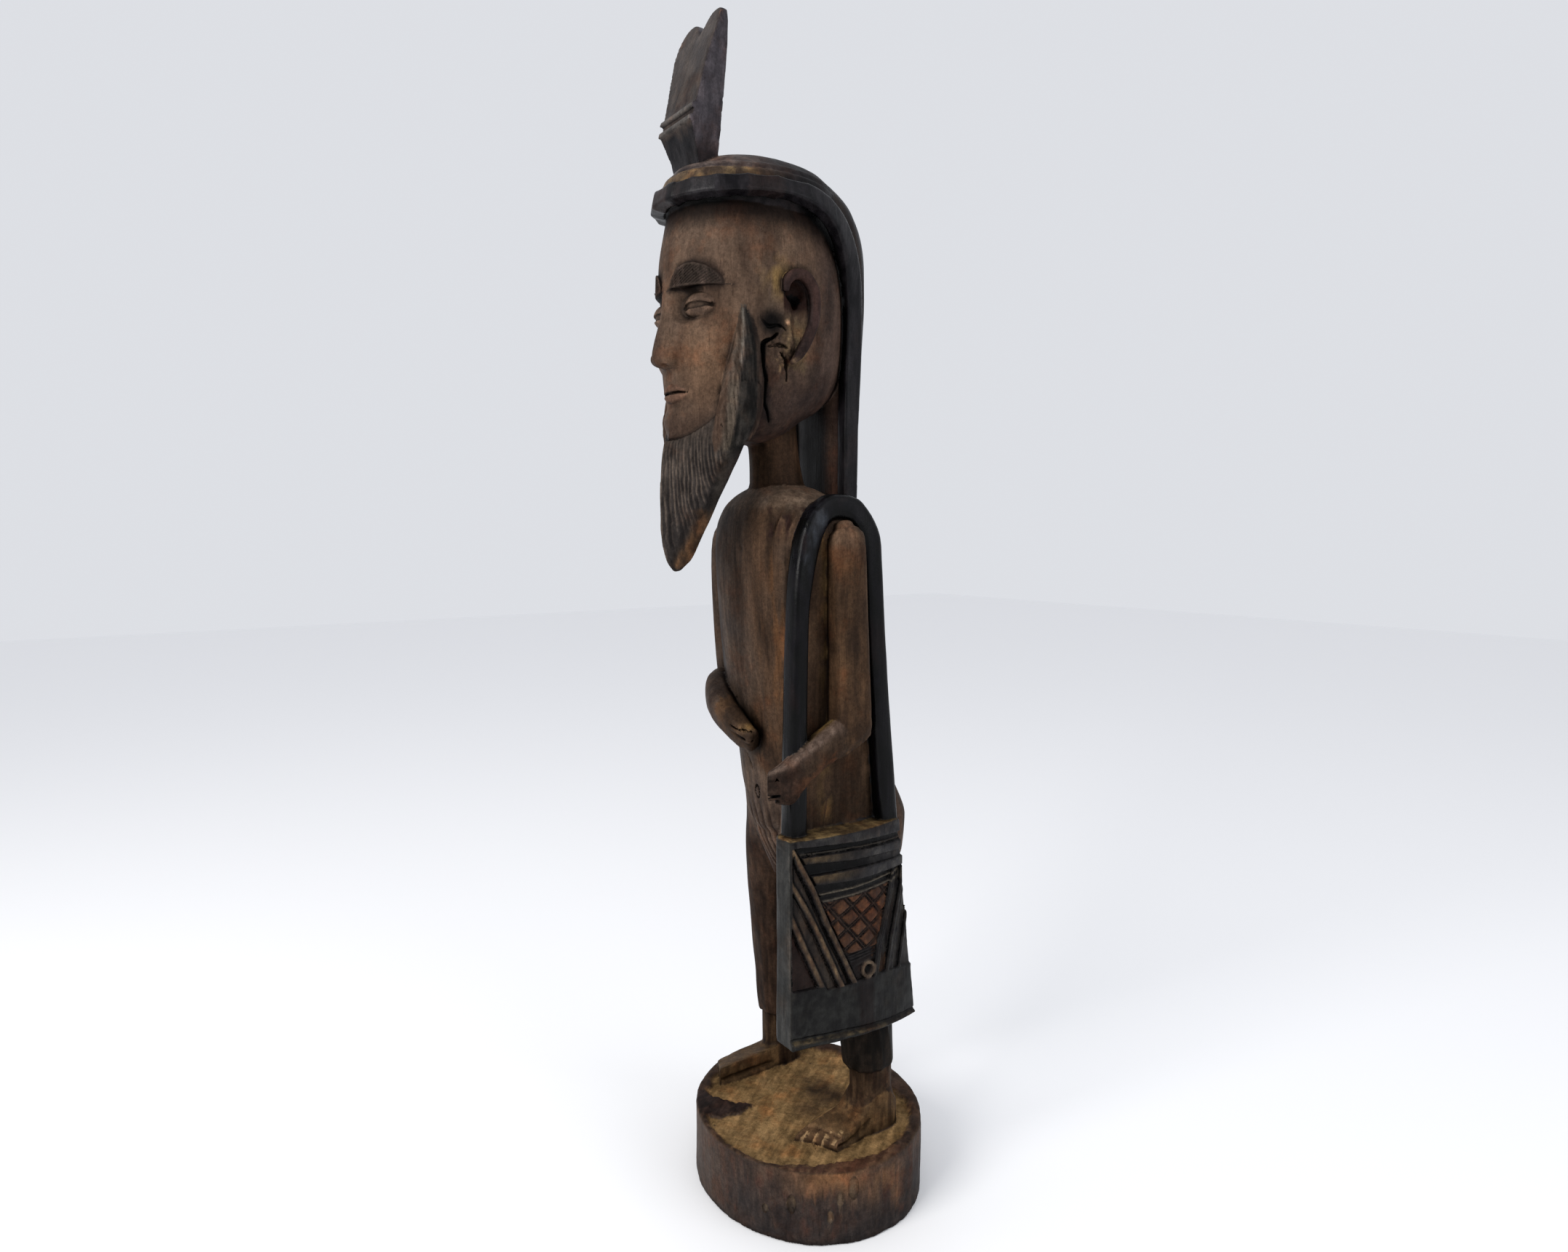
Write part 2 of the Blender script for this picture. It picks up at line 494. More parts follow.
# half-moon brows: raised plates with a flat lower edge, hatched with fine slanting cuts
def f_brow(sx):
    def f(x, y, z):
        u = (x - MID) * sx
        t = (u - 18.0) / 13.2
        top = BROW_Z + 12.0 * np.sqrt(np.maximum(0.0, 1 - t * t))
        yy = face_y(np.clip(u, 0, 39), z)
        out = yy - 1.75 - y                                  # >0 when in front of the plate
        if FINE[0]:
            g = np.abs((u * 0.50 - (z - BROW_Z) * 0.62) % 1.0 - 0.5) * 2
            inner = smooth01(0.8, 1.8, np.minimum(top - z, z - BROW_Z))
            out = out + 0.95 * smooth01(0.35, 0.9, g) * inner
        return smax(smax(out, np.maximum(z - top, BROW_Z - z) * 0.9, 0.7), y - yy - 6.0, 0.5)
    lo = [MID + (4.5 if sx > 0 else -31.5), -93, BROW_Z]
    hi = [MID + (31.5 if sx > 0 else -4.5), -60, BROW_Z + 12.2]
    return Solid(f, lo, hi)


add("brow", f_brow(1), 0.5)
add("brow", f_brow(-1), 0.5)
# ears: a C-shaped rim round a hollow, open to the front
for sx in (-1, 1):
    rim = [[-41.8, 526.0, 1.5, 1.7], [-40.8, 530.5, 2.4, 2.6], [-36.4, 534.0, 2.7, 3.0], [-29.4, 533.4, 2.9, 3.1], [-23.6, 526, 3.1, 3.2], [-23.4, 513, 3.0, 3.1],
           [-27.6, 502.0, 2.8, 2.9], [-33.2, 493.5, 2.6, 2.6], [-36.8, 489.0, 1.5, 1.6]]
    add("skull", ellipsoid([MID + sx * 36.0, -33.0, 511.0], [6.0, 11.0, 22.0]), 3.0)
    cut(limb([[MID + sx * 43.5, -35.0, 526, 4.5, 4.6, 2], [MID + sx * 43.2, -33.0, 514, 5.4, 4.4, 2], [MID + sx * 43, -34.5, 503, 3.8, 3.4, 2]], [1, 0, 0]), 2.0)
    cut(ellipsoid([MID + sx * 41.0, -35.0, 524.5], [6.0, 6.0, 5.5]), 1.4)
    cut(ellipsoid([MID + sx * 38.6, -34.6, 520.5], [5.5, 3.0, 4.0]), 1.0)
    add("ear", limb([[MID + sx * (42.6 - 0.10 * abs(y + 33)), y, z, a, b, 3.0] for y, z, a, b in rim], [1, 0, 0], 4), 0.7)

# ---------------------------------------------------------------- beard
# rows [z, xHalf, yEdge, yRidge, thickness]: two facets meeting in a front ridge
BEARD = [[376, 1.2, -86, -87.5, 2.0], [383, 4.6, -84, -92, 5.4], [398, 10.6, -80.5, -95.4, 6.6], [415, 18.8, -77, -95.8, 7.4], [432, 28, -74, -95, 8.4],
         [447, 35, -71.5, -92.5, 9], [462, 38, -69, -85, 12], [480, 38.5, -66, -80, 12]]
BEARD_TAB = table(BEARD)


def beard_lines(u, z):
    """Fine cuts that run down the beard, mm deep."""
    q = u / 1.75 + 0.5 * noise(z / 16.0, u / 7.0, 0.0, 41) + 0.25 * noise(z / 5.0, u / 2.0, 0.0, 42)
    g = np.abs(q % 1.0 - 0.5) * 2
    return (0.34 + 0.16 * noise(np.floor(q), z / 22.0, 0.0, 43)) * smooth01(0.35, 0.95, g)


def f_beard(x, y, z):
    w, ye, yr, th = lookup(BEARD_TAB, z)
    u = np.abs(x - MID)
    k = np.clip(u / w, 0, 1)
    front = ye + (yr - ye) * (1 - k) ** 0.85
    if FINE[0]:
        front = front + beard_lines(x - MID, z)
    back = ye + th - 2.0 * (1 - k)
    d = smax((front - y) * 0.86, u - w, 0.5)
    d = smax(d, y - back, 1.5)
    return smax(d, np.maximum(376.5 - z, z - 447.0 - 0.02 * u * u), 1.2)


def f_jaw(x, y, z):
    """Cheeks and jaw that run down to the beard, just behind its surface."""
    w, ye, yr, th = lookup(BEARD_TAB, z)
    u = np.abs(x - MID)
    k = np.clip(u / w, 0, 1)
    front = ye + (yr - ye) * (1 - k) ** 0.85 + 1.7 + 0.10 * np.maximum(0, z - 462)
    d = smax((front - y) * 0.86, u - w + 2.0, 2.5)
    return smax(smax(d, y + 58.0, 1.5), np.maximum(446.0 - z, z - 486.0), 5.0)


add("skull", Solid(f_jaw, [MID - 39, -90, 442], [MID + 39, -57, 486]), 4.0)
add("beard", Solid(f_beard, [MID - 39, -97, 376], [MID + 39, -56, 477]), 0.6)


# rows [z, then distance from the middle and y of: cheek edge, ridge, bend, rear edge]
SIDE = table([[434, 24.5, -76.6, 28.8, -73.8, 28.2, -68.2, 22, -64], [440, 27, -76.8, 32.2, -72.9, 31.6, -66.2, 25, -60], [447, 29.8, -76.6, 35.2, -72.0, 35.0, -63.2, 29.5, -56],
              [459, 32.0, -76.4, 37.0, -71.2, 38.2, -60.0, 31.5, -51], [468, 32.6, -74.4, 37.3, -70.2, 38.8, -59.4, 32.6, -50], [477, 33.0, -72.6, 37.5, -69.0, 38.8, -59.2, 34, -50],
              [490, 34.0, -70.2, 37.3, -66.8, 38.8, -59.8, 35.6, -51], [500, 34.5, -68.2, 36.8, -65.6, 38.0, -60.9, 36.4, -55], [508, 34.7, -66.6, 36.0, -64.8, 36.9, -62.2, 36.3, -58.4], [517, 34.6, -65.4, 35.1, -64.6, 35.5, -63.8, 35.3, -63]])


def side_beard(sx):
    """Strip of beard up to the temple: two facets that meet in a ridge, and a darker slope behind."""
    def plane(u, y, ua, ya, ub, yb):
        L = np.hypot(ub - ua, yb - ya)
        return (u - ua) * (yb - ya) / L - (y - ya) * (ub - ua) / L

    def f(x, y, z):
        ua, ya, ur, yr, um, ym, ub, yb = lookup(SIDE, z)
        u = (x - MID) * sx
        d = smax(plane(u, y, ua, ya, ur, yr), plane(u, y, ur, yr, um, ym), 0.35)
        d = smax(d, plane(u, y, um, ym, ub, yb), 1.2)
        if FINE[0]:
            q = (y + 0.10 * (z - 480)) / 1.9 + 0.4 * noise(z / 14.0, y / 6.0, 0.0, 45)
            d = d + 0.42 * smooth01(0.45, 0.95, np.abs(q % 1.0 - 0.5) * 2) * (y < ym + 1.0)
        d = smax(d, np.maximum(ya - y, y - yb), 0.6)
        return smax(smax(d, ua - 6.0 - u, 0.6), np.maximum((446.4 + 1.1 * np.minimum(0, y + 63.5) - z) * 0.7, z - 516.5), 1.0)
    a, b = sorted((MID + sx * 18.0, MID + sx * 40.0))
    return Solid(f, [a, -81, 434], [b, -49, 517])


add("beard", side_beard(1), 1.2)
add("beard", side_beard(-1), 1.2)

# ---------------------------------------------------------------- cap
CAP_Y, CAP_A, CAP_B = -41.0, 42.0, 48.0
DOME = [[568, -85, 12, 38, 2], [579, -88.5, 13, 41, 2], [583, -87.6, 13.5, 40.3, 2], [586, -85.8, 13.5, 39.2, 2], [586.9, -83.2, 13, 37.2, 2],
        [588, -82.9, 13, 36.8, 2], [590.4, -81.6, 12.6, 35.4, 2], [591.4, -78.2, 12, 32.8, 2.05], [592.6, -76.6, 11.2, 31.4, 2.05], [595.6, -71.5, 8, 28, 2.1],
        [598.4, -65, 3, 23, 2.1], [600.8, -57, -6, 16.5, 2.1], [602.2, -48, -16, 9.5, 2], [602.7, -42, -24, 4, 2]]
add("dome", body([[z, MID, y0, y1, a, n] for z, y0, y1, a, n in DOME], 0.4, False, 0.2), 0.5)
FLAP = [[386, MID, 12, 23, 17, 3], [396, MID, 10.5, 25.5, 22.5, 3], [420, MID, 9.5, 27.6, 24, 3], [450, MID, 9.5, 28.2, 24, 3], [485, MID, 8, 30.2, 24.5, 2.8],
        [520, MID, 5, 33, 25, 2.8], [548, MID, 0, 33, 26.2, 2.8], [566, MID, -8, 30.6, 27.4, 2.7], [580, MID, -18, 24, 27.4, 2.6], [590, MID, -26, 13, 25, 2.5],
        [597.5, MID, -34, -1, 19, 2.3], [600.5, MID, -38, -12, 12, 2.1]]
add("flap", body(FLAP, 2.0), 2.0)
EDGE, EDGE_S = [], []
for i in [-0.5, 0, 1, 2, 3, 4, 5]:
    a = i / 5 * math.pi / 2
    ex_, ey_ = CAP_A * math.sin(a), CAP_B * math.cos(a)
    L = math.hypot(ex_ / CAP_A ** 2, ey_ / CAP_B ** 2)
    EDGE.append([ex_, CAP_Y - ey_, 574.4 + 0.5 * max(0, i - 1), 4.9, 4.4])
    EDGE_S.append([ex_ / CAP_A ** 2 / L, -ey_ / CAP_B ** 2 / L, 0.22])
for row in [[42, -24, 574.6, 1, 0.12, 5.4, 4, 0.26], [39.2, -9, 568.6, 0.97, 0.2, 5.8, 4, 0.15], [34.6, 3, 557.8, 0.96, 0.22, 6.4, 4, 0.08],
            [30.2, 10.8, 542.5, 0.97, 0.2, 6.6, 4, 0], [26.8, 14.8, 523, 0.98, 0.16, 6.4, 4, 0], [24.9, 15.8, 492, 1, 0.1, 6.2, 4, 0],
            [24.4, 15.2, 456, 1, 0, 5.2, 4, 0], [24.2, 15, 420, 1, 0, 4.8, 4, 0], [22.5, 15.6, 394, 1, 0, 4.4, 3.6, 0]]:
    EDGE.append([row[0], row[1], row[2], row[5], row[6]])
    EDGE_S.append([row[3], row[4], row[7]])


FACET_TH = {1: [-0.22, 0.13, 0.49, 0.77, 1.10, 1.42, 1.80, 2.6], -1: [-0.13, 0.22, 0.54, 0.86, 1.16, 1.50, 1.85, 2.6]}


def edge_band(sx):
    rows = [[MID + sx * x, y, z, a, b, 6.0] for x, y, z, a, b in EDGE]
    sides = [[sx * x, y, z] for x, y, z in EDGE_S]
    s = limb(rows, None, 4, sides)
    g = s.f
    th_e = np.array(FACET_TH[sx])

    def f(x, y, z):
        th = np.arctan2((x - MID) * sx / CAP_A, -(y - CAP_Y) / CAP_B)      # 0 at the front
        i = np.clip(np.searchsorted(th_e, th) - 1, 0, len(th_e) - 2)
        m, hf = (th_e[i] + th_e[i + 1]) / 2, (th_e[i + 1] - th_e[i]) / 2
        flat = 26.0 * np.maximum(0, hf * hf - (th - m) ** 2) + 0.3 * noise(i + 0.5, sx + 0.5, 0.5, 52)
        flat = flat * (th < 1.8) * (th > -0.25)
        return g(x, y, z) + flat * smooth01(552, 564, z)
    return Solid(f, s.lo, s.hi)


add("edge", edge_band(1), 0.6)
add("edge", edge_band(-1), 0.6)

# ---------------------------------------------------------------- crest
# rows [z, halfWidth, yFront, yBack, extra width on the far side]
CREST = [[588, 13.4, -77.0, -65, 0], [597, 14, -79, -65, 0], [609.6, 16.4, -83.4, -64.4, 0.7], [610.4, 16.5, -84.9, -64.4, 0.8], [612.6, 16.5, -84.5, -64.4, 0.8], [613.4, 16.4, -82.4, -64.2, 0.9],
         [616.0, 16.4, -81.8, -64, 1.0], [616.8, 16.6, -83.7, -64, 1.2], [618.8, 16.6, -83.0, -64, 1.2], [619.8, 16.6, -80.8, -63.6, 1.3], [640, 17.4, -75.4, -61.6, 3.4],
         [656, 18, -70.2, -60.4, 6.6], [664, 17.8, -67, -60, 7.0], [673, 16.6, -64.2, -60, 6.6]]
CREST_TAB = table(CREST, 0.2, True)


def f_crest(x, y, z):
    w, y0, y1, e = lookup(CREST_TAB, z)
    u = x - MID
    k = np.clip((y - y0) / (y1 - y0), 0, 1)
    right = u - w * (1 - 0.14 * k)
    left = -u - (w + e) * (1 - 0.14 * k)
    d = smax(smax(right, left, 0.6), smax(y0 - y, y - y1, 0.4), 0.3)
    # two rounded lobes with a notch between them
    a = np.abs((u + 14.3) / 12.7)
    b = np.abs((u - 10.4) / 12.0)
    top = CREST_TOP_Z - 10.5 * np.minimum(np.minimum(a, b) ** 2.4, 1.25)
    # a shallow cut runs down from the notch
    d = smax(d, -(np.hypot(u + 1.6, y - y0) - 0.75) * (1) - 60 * (1 - smooth01(628, 668, z)), 0.4)
    return smax(d, z - top, 1.0)


add("crest", Solid(f_crest, [MID - 26, -85, 588], [MID + 19, -59, 672.5]), 0.5)

# ---------------------------------------------------------------- arms
def under(s, z0=282.4, k=0.4825, y0=4.6):
    """Cut a solid along the plane under the left forearm."""
    g = s.f
    c = 1 / math.hypot(1, k)

    def f(x, y, z):
        return smax(g(x, y, z), (z0 + k * (y - y0) - 1.1 * np.maximum(0, -36.0 - y) - z) * c, 0.5)
    return Solid(f, s.lo, s.hi)


def hand_end(s):
    """The left hand ends in an upright flat, rounded off below."""
    g = s.f

    def f(x, y, z):
        d = smax(g(x, y, z), -0.6 * x - 0.8 * y - 22.0, 1.2)
        return smax(d, 250.0 - z + 0.6 * np.maximum(0, 40.0 - x), 2.5)
    return Solid(f, s.lo, s.hi)


add("arm", under(limb([[42.0, -7, 400.5, 5.5, 4.6, 2.6], [42.8, -6.6, 397, 9.4, 6.8, 3.0], [43, -5.8, 389, 11.0, 7.5, 3.2], [43.4, -5, 352, 11.4, 7.6, 3.4],
                       [43.8, -3.8, 315, 11.6, 7.8, 3.8], [44, -3.6, 292, 12, 8, 4.2], [44, -4.4, 274, 12, 8, 4.2]], [1, 0, 0], 3)), 1.4)
add("forearm", under(hand_end(limb([[44.6, 1.5, 291, 8, 7, 3.0], [44.9, -4, 288.4, 9.4, 7.8, 3.0], [45, -16, 282.7, 9.6, 7.8, 2.9], [44.6, -30, 274.9, 9.2, 7.2, 2.8],
                                    [43.4, -42, 266.3, 9.6, 6.6, 2.8], [40.4, -47.6, 260.2, 11.2, 5.6, 3.0], [36.8, -50.6, 255.6, 11.6, 4.8, 3.0], [33.4, -53.2, 251.2, 11.6, 4.4, 3.0]],
                                   [0.86, -0.5, 0], 4)), 283.0), 1.2)
add("arm", limb([[-54, -15, 406, 4, 5, 2.2], [-57, -16, 399, 11, 7, 2.8], [-58, -17, 386, 13.4, 7.4, 3], [-58, -16.6, 352, 12.6, 7.6, 3.2],
                 [-58, -14.6, 322, 12.6, 7.8, 3.2], [-58, -13, 305, 12, 8, 3], [-57.6, -13, 298.5, 8, 7, 3]], [1, 0, 0], 3), 1.6)
add("forearm", limb([[-58, -6, 305, 5.5, 6.4, 2.6], [-57.7, -12, 304.5, 9.2, 7.6, 2.8], [-55.2, -24, 303, 9.8, 8, 2.9], [-46, -34.6, 300.5, 10, 8.2, 3.0],
                     [-31, -42.5, 295.5, 10.2, 8.2, 3.0], [-16, -45, 288, 9.8, 7, 3.0], [-5, -43.6, 281.6, 9.6, 6.0, 3.0], [0.5, -42, 278.5, 8.4, 5.0, 3.0]], [-0.6, -0.8, 0], 4), 1.4)

# ---------------------------------------------------------------- shoulder band
BAND = [[38.4, -38.5, 226, 6.2], [38.4, -38.2, 262, 6], [38.4, -37.9, 305, 5.7], [38.2, -36.4, 352, 5.4], [37.9, -34.6, 369, 6], [37.4, -31.7, 384, 6.6],
        [36.6, -27.3, 397.4, 7], [35.6, -21.2, 406.2, 7], [34.8, -13.2, 411.4, 7], [34.8, -4.6, 412.2, 7], [35.2, 2.8, 410.4, 7], [36, 9.4, 403.8, 7],
        [36.7, 14.4, 393.4, 6.8], [37.1, 15.8, 379, 6.6], [37.6, 17.4, 352, 6.6], [38.2, 20.8, 305, 6.6], [39, 28, 226, 6.6]]
add("band", limb([[x, y, z, hw, STRAP_T / 2 + 1.6, 3.6] for x, y, z, hw in BAND], [1, 0, 0], 3), 0.6)


# ---------------------------------------------------------------- bag on the left hip
def bag_mid(y, z):
    """The bag's outer face without relief."""
    t = (z - BAG_Z0) / (BAG_Z1 - BAG_Z0)
    yf, yb, xo = -49.5, 46.5 - 12.5 * t, BAG_X + 1.2 - 1.6 * t
    u = np.clip((y - yf) / (yb - yf), 0, 1)
    return 33 + (xo - 33 + 3.4 * np.sin(np.pi * u) - 15 * np.maximum(0, u - 0.45) ** 2) * 0.945


def slope(y, z, pts):
    """Height above a line across the bag through the given (y, z) points."""
    return z - np.interp(y, [q[0] for q in pts], [q[1] for q in pts])


def across(y, z, pts):
    """Distance to the right of a line that runs down the bag through the given (y, z) points."""
    return 0.88 * (y - np.interp(-z, [-q[1] for q in pts], [q[0] for q in pts]))


def bead(d, w):
    """Rounded ridge of half width w, 0 to 1."""
    return np.sqrt(np.maximum(0, 1 - (d / w) ** 2))


D1 = [(-48.8, 227.4), (-47.2, 224.6), (-36.0, 204.0), (-25.0, 179.0), (-7.5, 143.8), (-5.6, 140.0)]
D2 = [(-49.4, 209.4), (-48.3, 207.0), (-38.2, 189.5), (-30.8, 174.8), (-17.3, 145.7), (-15.0, 141.0)]
D3 = [(-49.6, 190.4), (-48.5, 188.2), (-41.0, 171.3), (-29.4, 146.3), (-27.0, 141.0)]
R1 = [(27.6, 204.0), (26.2, 198.0), (19.4, 176.5), (12.2, 158.0), (9.8, 143.0)]
R2 = [(35.2, 190.0), (32.5, 182.0), (24.5, 160.0), (20.5, 142.7)]
R3 = [(41.0, 172.0), (36.0, 156.0), (32.2, 140.8)]
LOW = [(-49.2, 146.4), (-40.5, 145.5), (-27.0, 145.0), (-25.0, 142.4), (0.0, 141.9), (21.0, 141.4), (40.5, 138.4), (46.0, 137.4)]
BAND1 = [(-47.0, 226.8), (-42.6, 226.5), (-10.0, 224.2), (33.0, 221.4)]
THIN1 = [(-40.4, 222.3), (-7.5, 220.6), (31.9, 217.7)]
BAND2 = [(-36.5, 216.5), (-7.4, 213.6), (10.4, 212.6), (33.0, 210.6)]
BAND3T = [(-34.8, 209.8), (-8.0, 208.6), (11.0, 207.9), (33.0, 206.6)]
BAND3 = [(-30.5, 203.6), (-7.7, 201.8), (19.0, 201.1), (33.0, 200.6)]
THIN2 = [(-30.0, 197.8), (-6.0, 197.2), (24.0, 198.3)]
THIN3 = [(-28.0, 193.4), (-6.0, 193.4), (24.0, 194.3)]
LIP = [(-46.5, 116.9), (-13.1, 113.6), (22.5, 109.0), (46.0, 107.0)]


def bag_relief(y, z, masks=False):
    y, z = np.broadcast_arrays(np.asarray(y, float), np.asarray(z, float))
    low = slope(y, z, LOW)
    d1, d2, d3, r1, r2, r3 = (across(y, z, q) for q in (D1, D2, D3, R1, R2, R3))
    up = smooth01(-0.5, 0.5, low)                                        # 1 above the plain part
    right_of = smooth01(2.0, 3.2, d1)
    b1, t1, b2 = slope(y, z, BAND1), slope(y, z, THIN1), slope(y, z, BAND2)
    b3t, b3, t2, t3 = slope(y, z, BAND3T), slope(y, z, BAND3), slope(y, z, THIN2), slope(y, z, THIN3)
    h = np.full(y.shape, -1.5)
    # bands across the top
    one = smooth01(-0.4, 0.4, b1)
    two = smooth01(-0.4, 0.4, b2) * smooth01(-0.8, -1.7, t1)
    three = smooth01(-0.4, 0.4, b3) * smooth01(0.4, -0.5, b3t)
    h = h + one * 2.5
    h = h + right_of * two * (2.0 + 0.35 * np.clip(b2, 0, 4) * 0.5)
    h = h + right_of * three * (2.1 + 0.1 * np.clip(b3, 0, 5))
    h = h + right_of * (1 - two) * (0.9 * bead(t1, 0.8)) + right_of * (0.9 * bead(t2, 0.75) + 0.9 * bead(t3, 0.75)) * (1 - three)
    h = h + 0.55 * smooth01(-6, 20, y) * smooth01(0.5, -0.5, b2) * smooth01(-0.5, 0.5, b3t) * right_of   # worn flatter to the rear
    # lozenges in an inverted triangle
    tri = smooth01(2.4, 3.2, d1) * smooth01(0.8, 1.8, -r1) * smooth01(0.6, 1.4, -t3) * smooth01(158.6, 159.8, z)
    yy, zz = y + 1.9, z - 172.9
    a, b = (5.1 * yy - 9.9 * zz) / 107.9, (6.6 * zz + 7.5 * yy) / 107.9
    ga, gb = np.abs(((a + 0.5) % 1.0) - 0.5) * 2, np.abs(((b + 0.5) % 1.0) - 0.5) * 2
    ga, gb = np.abs(a - np.round(a)) * 2, np.abs(b - np.round(b)) * 2    # 0 in the middle of a lozenge, 1 on the net
    g = np.maximum(ga, gb)
    pillow = 1.35 * (1 - smooth01(0.58, 0.84, g)) + 0.2 * (1 - g)
    net = 0.75 * (smooth01(0.88, 0.95, g))
    h = h * (1 - tri) + (-1.6 + pillow + net) * tri
    # three fine steps below the lozenges
    pit = smooth01(2.4, 3.2, d1) * smooth01(0.8, 1.8, -r1) * (1 - smooth01(158.6, 159.8, z))
    steps = np.zeros(y.shape)
    for za in (158.2, 156.4, 154.6):
        steps = np.maximum(steps, 0.7 * bead(z - za - 0.05 * (y - 3), 0.6))
    steps = np.maximum(steps, 0.5 * bead(z - 151.6 - 0.06 * (y - 3), 1.1))
    h = h + pit * steps
    # ring boss
    rr = np.hypot(y - 4.7, (z - 146.6))
    ring = 1.9 * bead(rr - 4.0, 1.5)
    h = np.where(rr < 5.8, np.maximum(h * smooth01(2.4, 3.4, rr) + (-2.4) * (1 - smooth01(1.0, 3.0, rr)), -1.6 + 1.4 * ring * (1 - 0.35 * smooth01(0.2, -0.9, (y - 4.7) / 4.0 - (z - 146.6) / 6.0))), h)
    # planes on the left, each rising to the next ridge
    plane = np.where(d2 > 0, -0.35 - 0.20 * np.clip(d2, 0, 8), np.where(d3 > 0, -0.30 - 0.14 * np.clip(d3, 0, 9), -1.9 + 0.03 * np.clip(-d3, 0, 12)))
    lf = smooth01(0.6, -0.6, d1) * (1 - one)
    h = h * (1 - lf) + plane * lf
    for d, q in ((d1, 1.0), (d2, 0.95), (d3, 0.7)):
        zone = (1 - 0.9 * one) if d is d1 else lf
        h = h - 0.7 * ridge(d - 2.3, 0.5, 0.6) * zone - 0.5 * ridge(d + 2.3, 0.4, 0.5) * zone
        k = bead(d, 1.9) * zone
        h = np.maximum(h, h * (1 - np.minimum(1, 3 * k)) + (-0.3 + 1.9 * q * k) * np.minimum(1, 3 * k))
    # stepped planes on the right
    rz = smooth01(0.3, 1.0, r1) * smooth01(0.5, -0.5, z - 200.5) * up
    stepped = np.where(r2 < 0, -0.5 - 0.16 * np.clip(r2 + 8, -4, 8), np.where(r3 < 0, 0.1 - 0.20 * np.clip(r3 + 9, 0, 9), -0.9))
    stepped = stepped + 0.5 * bead(r1 - 3.4 - 0.02 * (z - 170), 0.8) + 0.5 * bead(r2 - 4.4, 0.8)
    h = h * (1 - rz) + stepped * rz
    for d, q in ((r1, 1.25), (r2, 1.15), (r3, 0.8)):
        k = bead(d, 1.2) * smooth01(0.5, -0.5, z - 200.5)
        h = np.maximum(h, h * (1 - k) + q * k)
    # plain lower part, front border, and the lip along the lower edge
    h = h * up + (0.55 + 0.25 * smooth01(-3.5, -0.5, low)) * (1 - up)
    front = 1 - smooth01(-48.6, -47.6, y)
    h = h * (1 - front) + 1.0 * front
    lip = slope(y, z, LIP)
    h = h - 0.9 * ridge(lip - 1.7, 0.7, 0.7) + 1.5 * (1 - smooth01(-0.3, 0.7, lip)) - 0.10 * np.clip(-lip - 1.5, 0, 6)
    h = h + 0.12 * noise(y / 6.0, z / 6.0, 0.0, 61) + 0.10 * noise(y / 2.0, z / 2.4, 0.0, 62) * (tri < 0.5)
    if not masks:
        return h
    on = up * (1 - front)
    beads = np.maximum.reduce([ridge(d1 - 0.2, 1.1, 0.6) * (1 - one), 0.95 * ridge(d2 - 0.1, 1.0, 0.6) * lf, 0.8 * ridge(d3, 1.0, 0.7) * lf]) * on
    thin = right_of * np.maximum.reduce([0.5 * ridge(t1, 0.5, 0.4), 0.9 * ridge(t2, 0.6, 0.4), 0.75 * ridge(t3, 0.6, 0.4)]) * on * (1 - three) * (1 - two)
    tan = right_of * on * np.maximum(two * smooth01(0, -34, y) * smooth01(0.2, 1.6, b2) * 0.8, three * smooth01(4, -26, y) * smooth01(1.0, 3.2, b3))
    grey = np.maximum(on * right_of * smooth01(-16, 14, y) * np.maximum(two, np.maximum(three, 0.6 * (b2 < 0) * (b3t > 0))), one * 0.9)
    grey = np.maximum(grey, 0.55 * rz * np.maximum(ridge(r1 - 3.4, 0.8, 0.6), ridge(r2 - 4.4, 1.2, 0.8)))
    lips = ridge(lip - 0.1, 0.9, 0.7)
    groove = on * np.maximum.reduce([ridge(d1 - 2.5, 0.8, 0.6), ridge(d1 + 2.4, 0.6, 0.6), lf * ridge(d2 - 2.5, 0.8, 0.6), lf * ridge(d3 - 2.4, 0.7, 0.6),
                                     right_of * (b1 < 0) * (b2 > -0.2) * (1 - two), right_of * (b2 < 0) * (b3t > 0) * (1 - smooth01(-4, 20, y)), right_of * (b3 < 0) * (t3 > -0.6) * (1 - np.maximum(ridge(t2, 0.7, 0.4), ridge(t3, 0.7, 0.4)))])
    return dict(h=h, beads=beads, thin=thin, tan=tan, grey=grey, lips=lips, loz=tri * (1 - smooth01(0.66, 0.84, g)), net=tri * smooth01(0.66, 0.84, g), netline=tri * smooth01(0.88, 0.95, g),
                recess=(d3 < -1.6) * on * (1 - one), ring=ridge(rr - 4.0, 1.2, 0.7), hole=1 - smooth01(1.2, 2.8, rr), pit=pit * (1 - steps * 1.4), low=1 - up, front=front, groove=groove, plane=lf * on, rz=rz)


def f_bag(x, y, z):
    t = (z - BAG_Z0) / (BAG_Z1 - BAG_Z0)
    yf, yb = -49.5, 46.5 - 12.5 * t
    xo = bag_mid(y, z) + bag_relief(y, z)
    xi = np.where(y < 0, np.interp(y, [-46.5, 0], [33.0, 24.0]), np.where(y < yb - 8, 24.0 + 2 * y / np.maximum(yb - 8, 1), 26 + (y - yb + 8)))
    zlow = 112.8 - 7.0 * (y - yf) / 96.0
    d = smax(x - xo, xi - x, 0.8)
    d = smax(d, smax(yf + np.maximum(0, 37.5 - x) * 0.66 - y, y - yb, 0.8), 0.9)
    return smax(d, smax(z - BAG_Z1 + 0.02 * (y + 49), zlow - z, 0.8), 1.8)


add("bag", Solid(f_bag, [24, -50, 104], [57, 49, 231.5]), 0.6)

